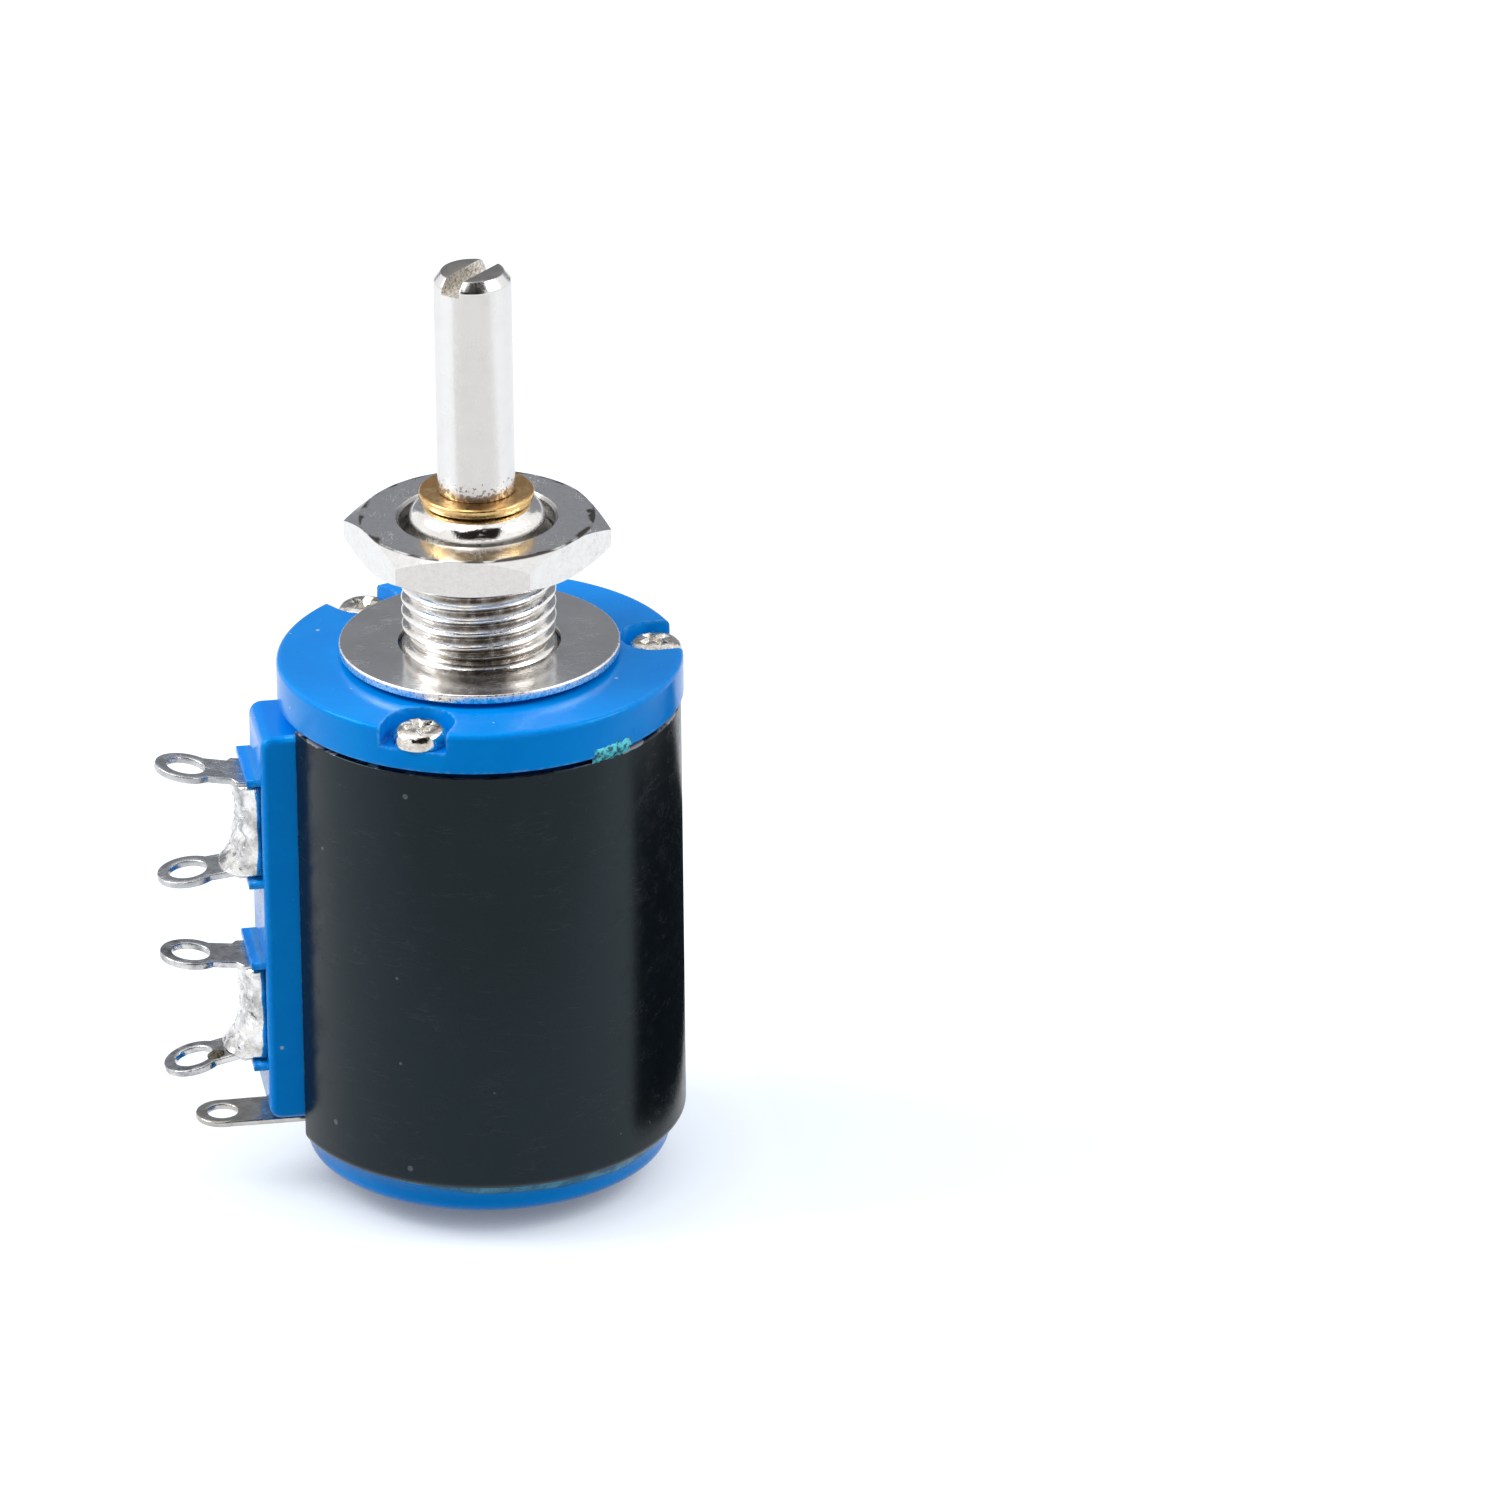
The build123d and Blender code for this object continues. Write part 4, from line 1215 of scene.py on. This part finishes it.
washer_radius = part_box("panel_washer")[1].x / mm
washer_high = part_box("panel_washer")[1].z / mm
washer_bore = 4.2
washer_outline = rounded(
    (washer_bore, 0.0, 0.05),
    (washer_radius, 0.0, 0.1),
    (washer_radius, washer_high, 0.12),
    (washer_bore, washer_high, 0.06),
)
washer = worked(turned("panel_washer_flat", washer_outline, sides=200))


def washer_rim_and_highlight(tree):
    """Rough stamped edge, painted pale: partly its own finish, partly a painted highlight."""
    edge = ramp(tree, off_axis(tree), washer_radius - 0.1, washer_radius - 0.05)
    return product(tree, edge, ramp(tree, mottle(tree, 6.0, 4), 0.36, 0.56))


washer_plate = plated(
    "washer plate",
    metal=(0.78, 0.77, 0.76), tarnish=(0.6, 0.585, 0.57), worn_and_highlight=(0.9, 0.9, 0.89),
    share=0.5, size=2.4, polished=0.13, dull=0.22,
    along=(0.5, 2.6, 1.0), lines=1.1, relief=0.1,
    marks_and_painted_light=washer_rim_and_highlight, marks_and_painted_light_color=(0.95, 0.93, 0.9),
)
washer.data.materials.append(washer_plate)
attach(washer, "housing")
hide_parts("panel_washer")


# --- Panel nut -------------------------------------------------------------------------
# Thin hexagon nut, 12 mm across its flats, turned to a chamfer at both ends and plated
# with nickel. It runs on the bushing's thread.

nut_low, nut_high = heights(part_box("panel_nut"))
flat_distance = 6.0
nut_face_radius = 5.97
nut_bore = 4.03
bore_chamfer = 0.16
corner_angle = math.radians(45)
dent_place = (5.77, -0.52)


def nut_outline(angle):
    """The nut's outline at one angle: bore, end faces, chamfers and flats."""
    from_flat = (angle - corner_angle) % (math.pi / 3) - math.pi / 6
    side = flat_distance / math.cos(from_flat)
    drop = (side - nut_face_radius) * math.tan(math.radians(30))
    return rounded(
        (nut_bore, nut_low + bore_chamfer, 0),
        (nut_bore + bore_chamfer, nut_low, 0),
        (nut_face_radius, nut_low, 0),
        (side, nut_low + drop, 0),
        (side, nut_high - drop, 0),
        (nut_face_radius, nut_high, 0),
        (nut_bore + bore_chamfer, nut_high, 0),
        (nut_bore, nut_high - bore_chamfer, 0),
    )


nut = turned("panel_nut_hexagon", nut_outline, sides=180, start=corner_angle)
worked(nut, crisp=20)


def nut_marks_and_shade(tree):
    """Dark ragged line round the upper face's edge, a dark spot at a dent, and darkening at the bore's
    edge that is painted shade in the gap round the bushing.
    """
    radius = off_axis(tree)
    uneven = mottle(tree, 0.8, 4)
    wander = sums(tree, "MULTIPLY_ADD", ramp(tree, uneven, 0.4, 0.7), 0.4, radius)
    inner = ramp(tree, wander, nut_face_radius + 0.01, nut_face_radius + 0.17)
    outer = ramp(tree, radius, nut_face_radius + 0.15, nut_face_radius + 0.07)
    upper = ramp(tree, coordinates(tree)["Z"], nut_high - 0.1, nut_high - 0.05)
    ring = product(tree, inner, outer, upper)
    # Painted shade: the bore's edge darkens for the gap round the bushing.
    bore_edge = nut_bore + bore_chamfer
    bore = ramp(tree, radius, bore_edge + 0.03, bore_edge - 0.05, 0.0, 0.55)
    from_dent = {0: millimetres(tree), 1: (*dent_place, nut_high)}
    from_dent = add(tree, "VectorMath", from_dent, operation="DISTANCE").outputs["Value"]
    dent = ramp(tree, sums(tree, "MULTIPLY_ADD", uneven, 0.7, from_dent), 0.66, 0.58)
    return sums(tree, "MAXIMUM", sums(tree, "MAXIMUM", ring, bore), dent)


nut_nickel = plated(
    "nut nickel",
    metal=(0.84, 0.835, 0.825), tarnish=(0.66, 0.655, 0.66), worn_and_highlight=(0.94, 0.93, 0.92),
    share=0.45, size=0.3, polished=0.14, dull=0.26,
    along=(2.0, 0.4, 1.0), lines=1.6, relief=0.14,
    marks_and_painted_light=nut_marks_and_shade, marks_and_painted_light_color=(0.085, 0.075, 0.068),
)
nut.data.materials.append(nut_nickel)
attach(nut, "nut")
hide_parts("panel_nut")


# --- Studio ----------------------------------------------------------------------------
# Pale floor under the part, self-lit for the camera and reflections, with a painted contact
# shadow near the part; soft light from above and from both sides, and four cards that only reflections
# show.

floor_shape = bmesh.new()
bmesh.ops.create_grid(floor_shape, x_segments=24, y_segments=24, size=2.0)
floor = finished("floor", floor_shape)
floor.location.z = cad_low.z
floor_paint, tree, shader = finish("floor paint", {"Roughness": 0.55, "IOR": 1.3})
grain = {"Vector": add(tree, "TexCoord").outputs["Object"], "Scale": 3.0, "Detail": 2}
grain = add(tree, "TexNoise", grain).outputs[0]
rays = add(tree, "LightPath").outputs
seen = sums(tree, "MAXIMUM", rays["Is Camera Ray"], rays["Is Glossy Ray"])
# Ambient occlusion dims the floor's emission near the part: a painted contact shadow. The emission is
# bluish to the camera, so the shadows read blue.
open_sky = add(tree, "AmbientOcclusion", {"Distance": 0.008}, samples=8).outputs["AO"]
glow_with_painted_contact_shadow = ramp(tree, open_sky, 0.05, 0.4, 0.1, 0.64)
glow_with_painted_shadow = sums(tree, "ADD", glow_with_painted_contact_shadow, ramp(tree, open_sky, 0.4, 0.9, 0.0, 0.17))
pale = {
    "Base Color": blend(tree, grain, (0.42, 0.43, 0.445), (0.45, 0.455, 0.46)),
    "Emission Strength": product(tree, seen, glow_with_painted_shadow),
    "Emission Color": blend(tree, rays["Is Camera Ray"], (0.74, 0.74, 0.745), (0.86, 0.925, 1.0)),
}
wired(tree, shader, pale)
floor.data.materials.append(floor_paint)

world = bpy.data.worlds.new("soft surroundings")
bpy.context.scene.world = world
world.use_nodes = True
tree = world.node_tree
rays = add(tree, "LightPath").outputs
seen = sums(tree, "MAXIMUM", rays["Is Camera Ray"], rays["Is Glossy Ray"])
seen = sums(tree, "MAXIMUM", seen, rays["Is Transmission Ray"])
air = blend(tree, seen, (0.3, 0.33, 0.375), (1, 1, 1))
wired(tree, tree.nodes["Background"], {"Color": air})


def aimed(made, place, target):
    """Puts a lamp or a card at a place, turned towards a point."""
    made.location = place
    made.rotation_euler = (Vector(target) - Vector(place)).to_track_quat("-Z", "Y").to_euler()


def lamp(name, place, target, width, power, tint):
    """Soft square lamp aimed at a point."""
    data = bpy.data.lights.new(name, "AREA")
    data.size = width
    data.energy = power
    data.color = tint
    aimed(linked(name, data), place, target)


def card(name, place, target, width, height, tone):
    """Flat card that only reflections show."""
    shape = bmesh.new()
    bmesh.ops.create_grid(shape, x_segments=2, y_segments=2, size=0.5)
    made = finished(name, shape)
    made.scale = (width, height, 1)
    aimed(made, place, target)
    lit = {"Base Color": (0, 0, 0), "Emission Color": tone, "Emission Strength": 1.0}
    paint = finish(name + " paint", {"Roughness": 1.0, "Specular IOR Level": 0.0, **lit})[0]
    made.data.materials.append(paint)
    made.visible_camera = False
    made.visible_diffuse = False
    made.visible_shadow = False
    made.visible_transmission = False


middle = (0, 0, 0)
lamp("lamp_above", (-0.22, -0.1, 0.62), middle, 0.4, 1.15, (1, 0.985, 0.965))
lamp("lamp_left", (-0.492, 0.076, 0.418), middle, 0.3, 2.3, (1, 0.99, 0.98))
lamp("lamp_right", (0.4715, -0.16, 0.418), middle, 0.3, 1.5, (1, 0.99, 0.98))
card("card_behind", (0.15, 0.75, 0.27), middle, 1.3, 0.62, (0.265, 0.275, 0.3))
card("card_front", (-0.087, -0.66, 0.6), middle, 1.25, 1.1, (0.015, 0.013, 0.012))
card("card_near", (-0.015, -0.1, -0.029), (-0.015, -0.1, 0.1), 0.2, 0.13, (0.9, 0.895, 0.89))
card("card_right", (0.0405, 0.016, -0.0288), (0.0405, 0.016, 0.1), 0.05, 0.05, (0.01, 0.014, 0.016))


# --- Camera ----------------------------------------------------------------------------
# A long lens, a little above the part and slightly to its left.

camera_data = bpy.data.cameras.new("camera")
camera_data.sensor_width = 36.0
camera_data.lens = 303.6
camera_data.clip_start = 0.01
camera = linked("camera", camera_data)
camera.location = (-0.07744, -0.59091, 0.26362)
ahead = Vector((0.13938, 0.90035, -0.41224)).normalized()
level = ahead.cross(Vector((0, 0, 1))).normalized()
upward = level.cross(ahead)
roll = math.radians(-0.586)
right = level * math.cos(roll) + upward * math.sin(roll)
upward = right.cross(ahead)
camera.rotation_mode = "QUATERNION"
camera.rotation_quaternion = Matrix((right, upward, -ahead)).transposed().to_quaternion()
bpy.context.scene.camera = camera
bpy.context.scene.view_settings.view_transform = "Standard"
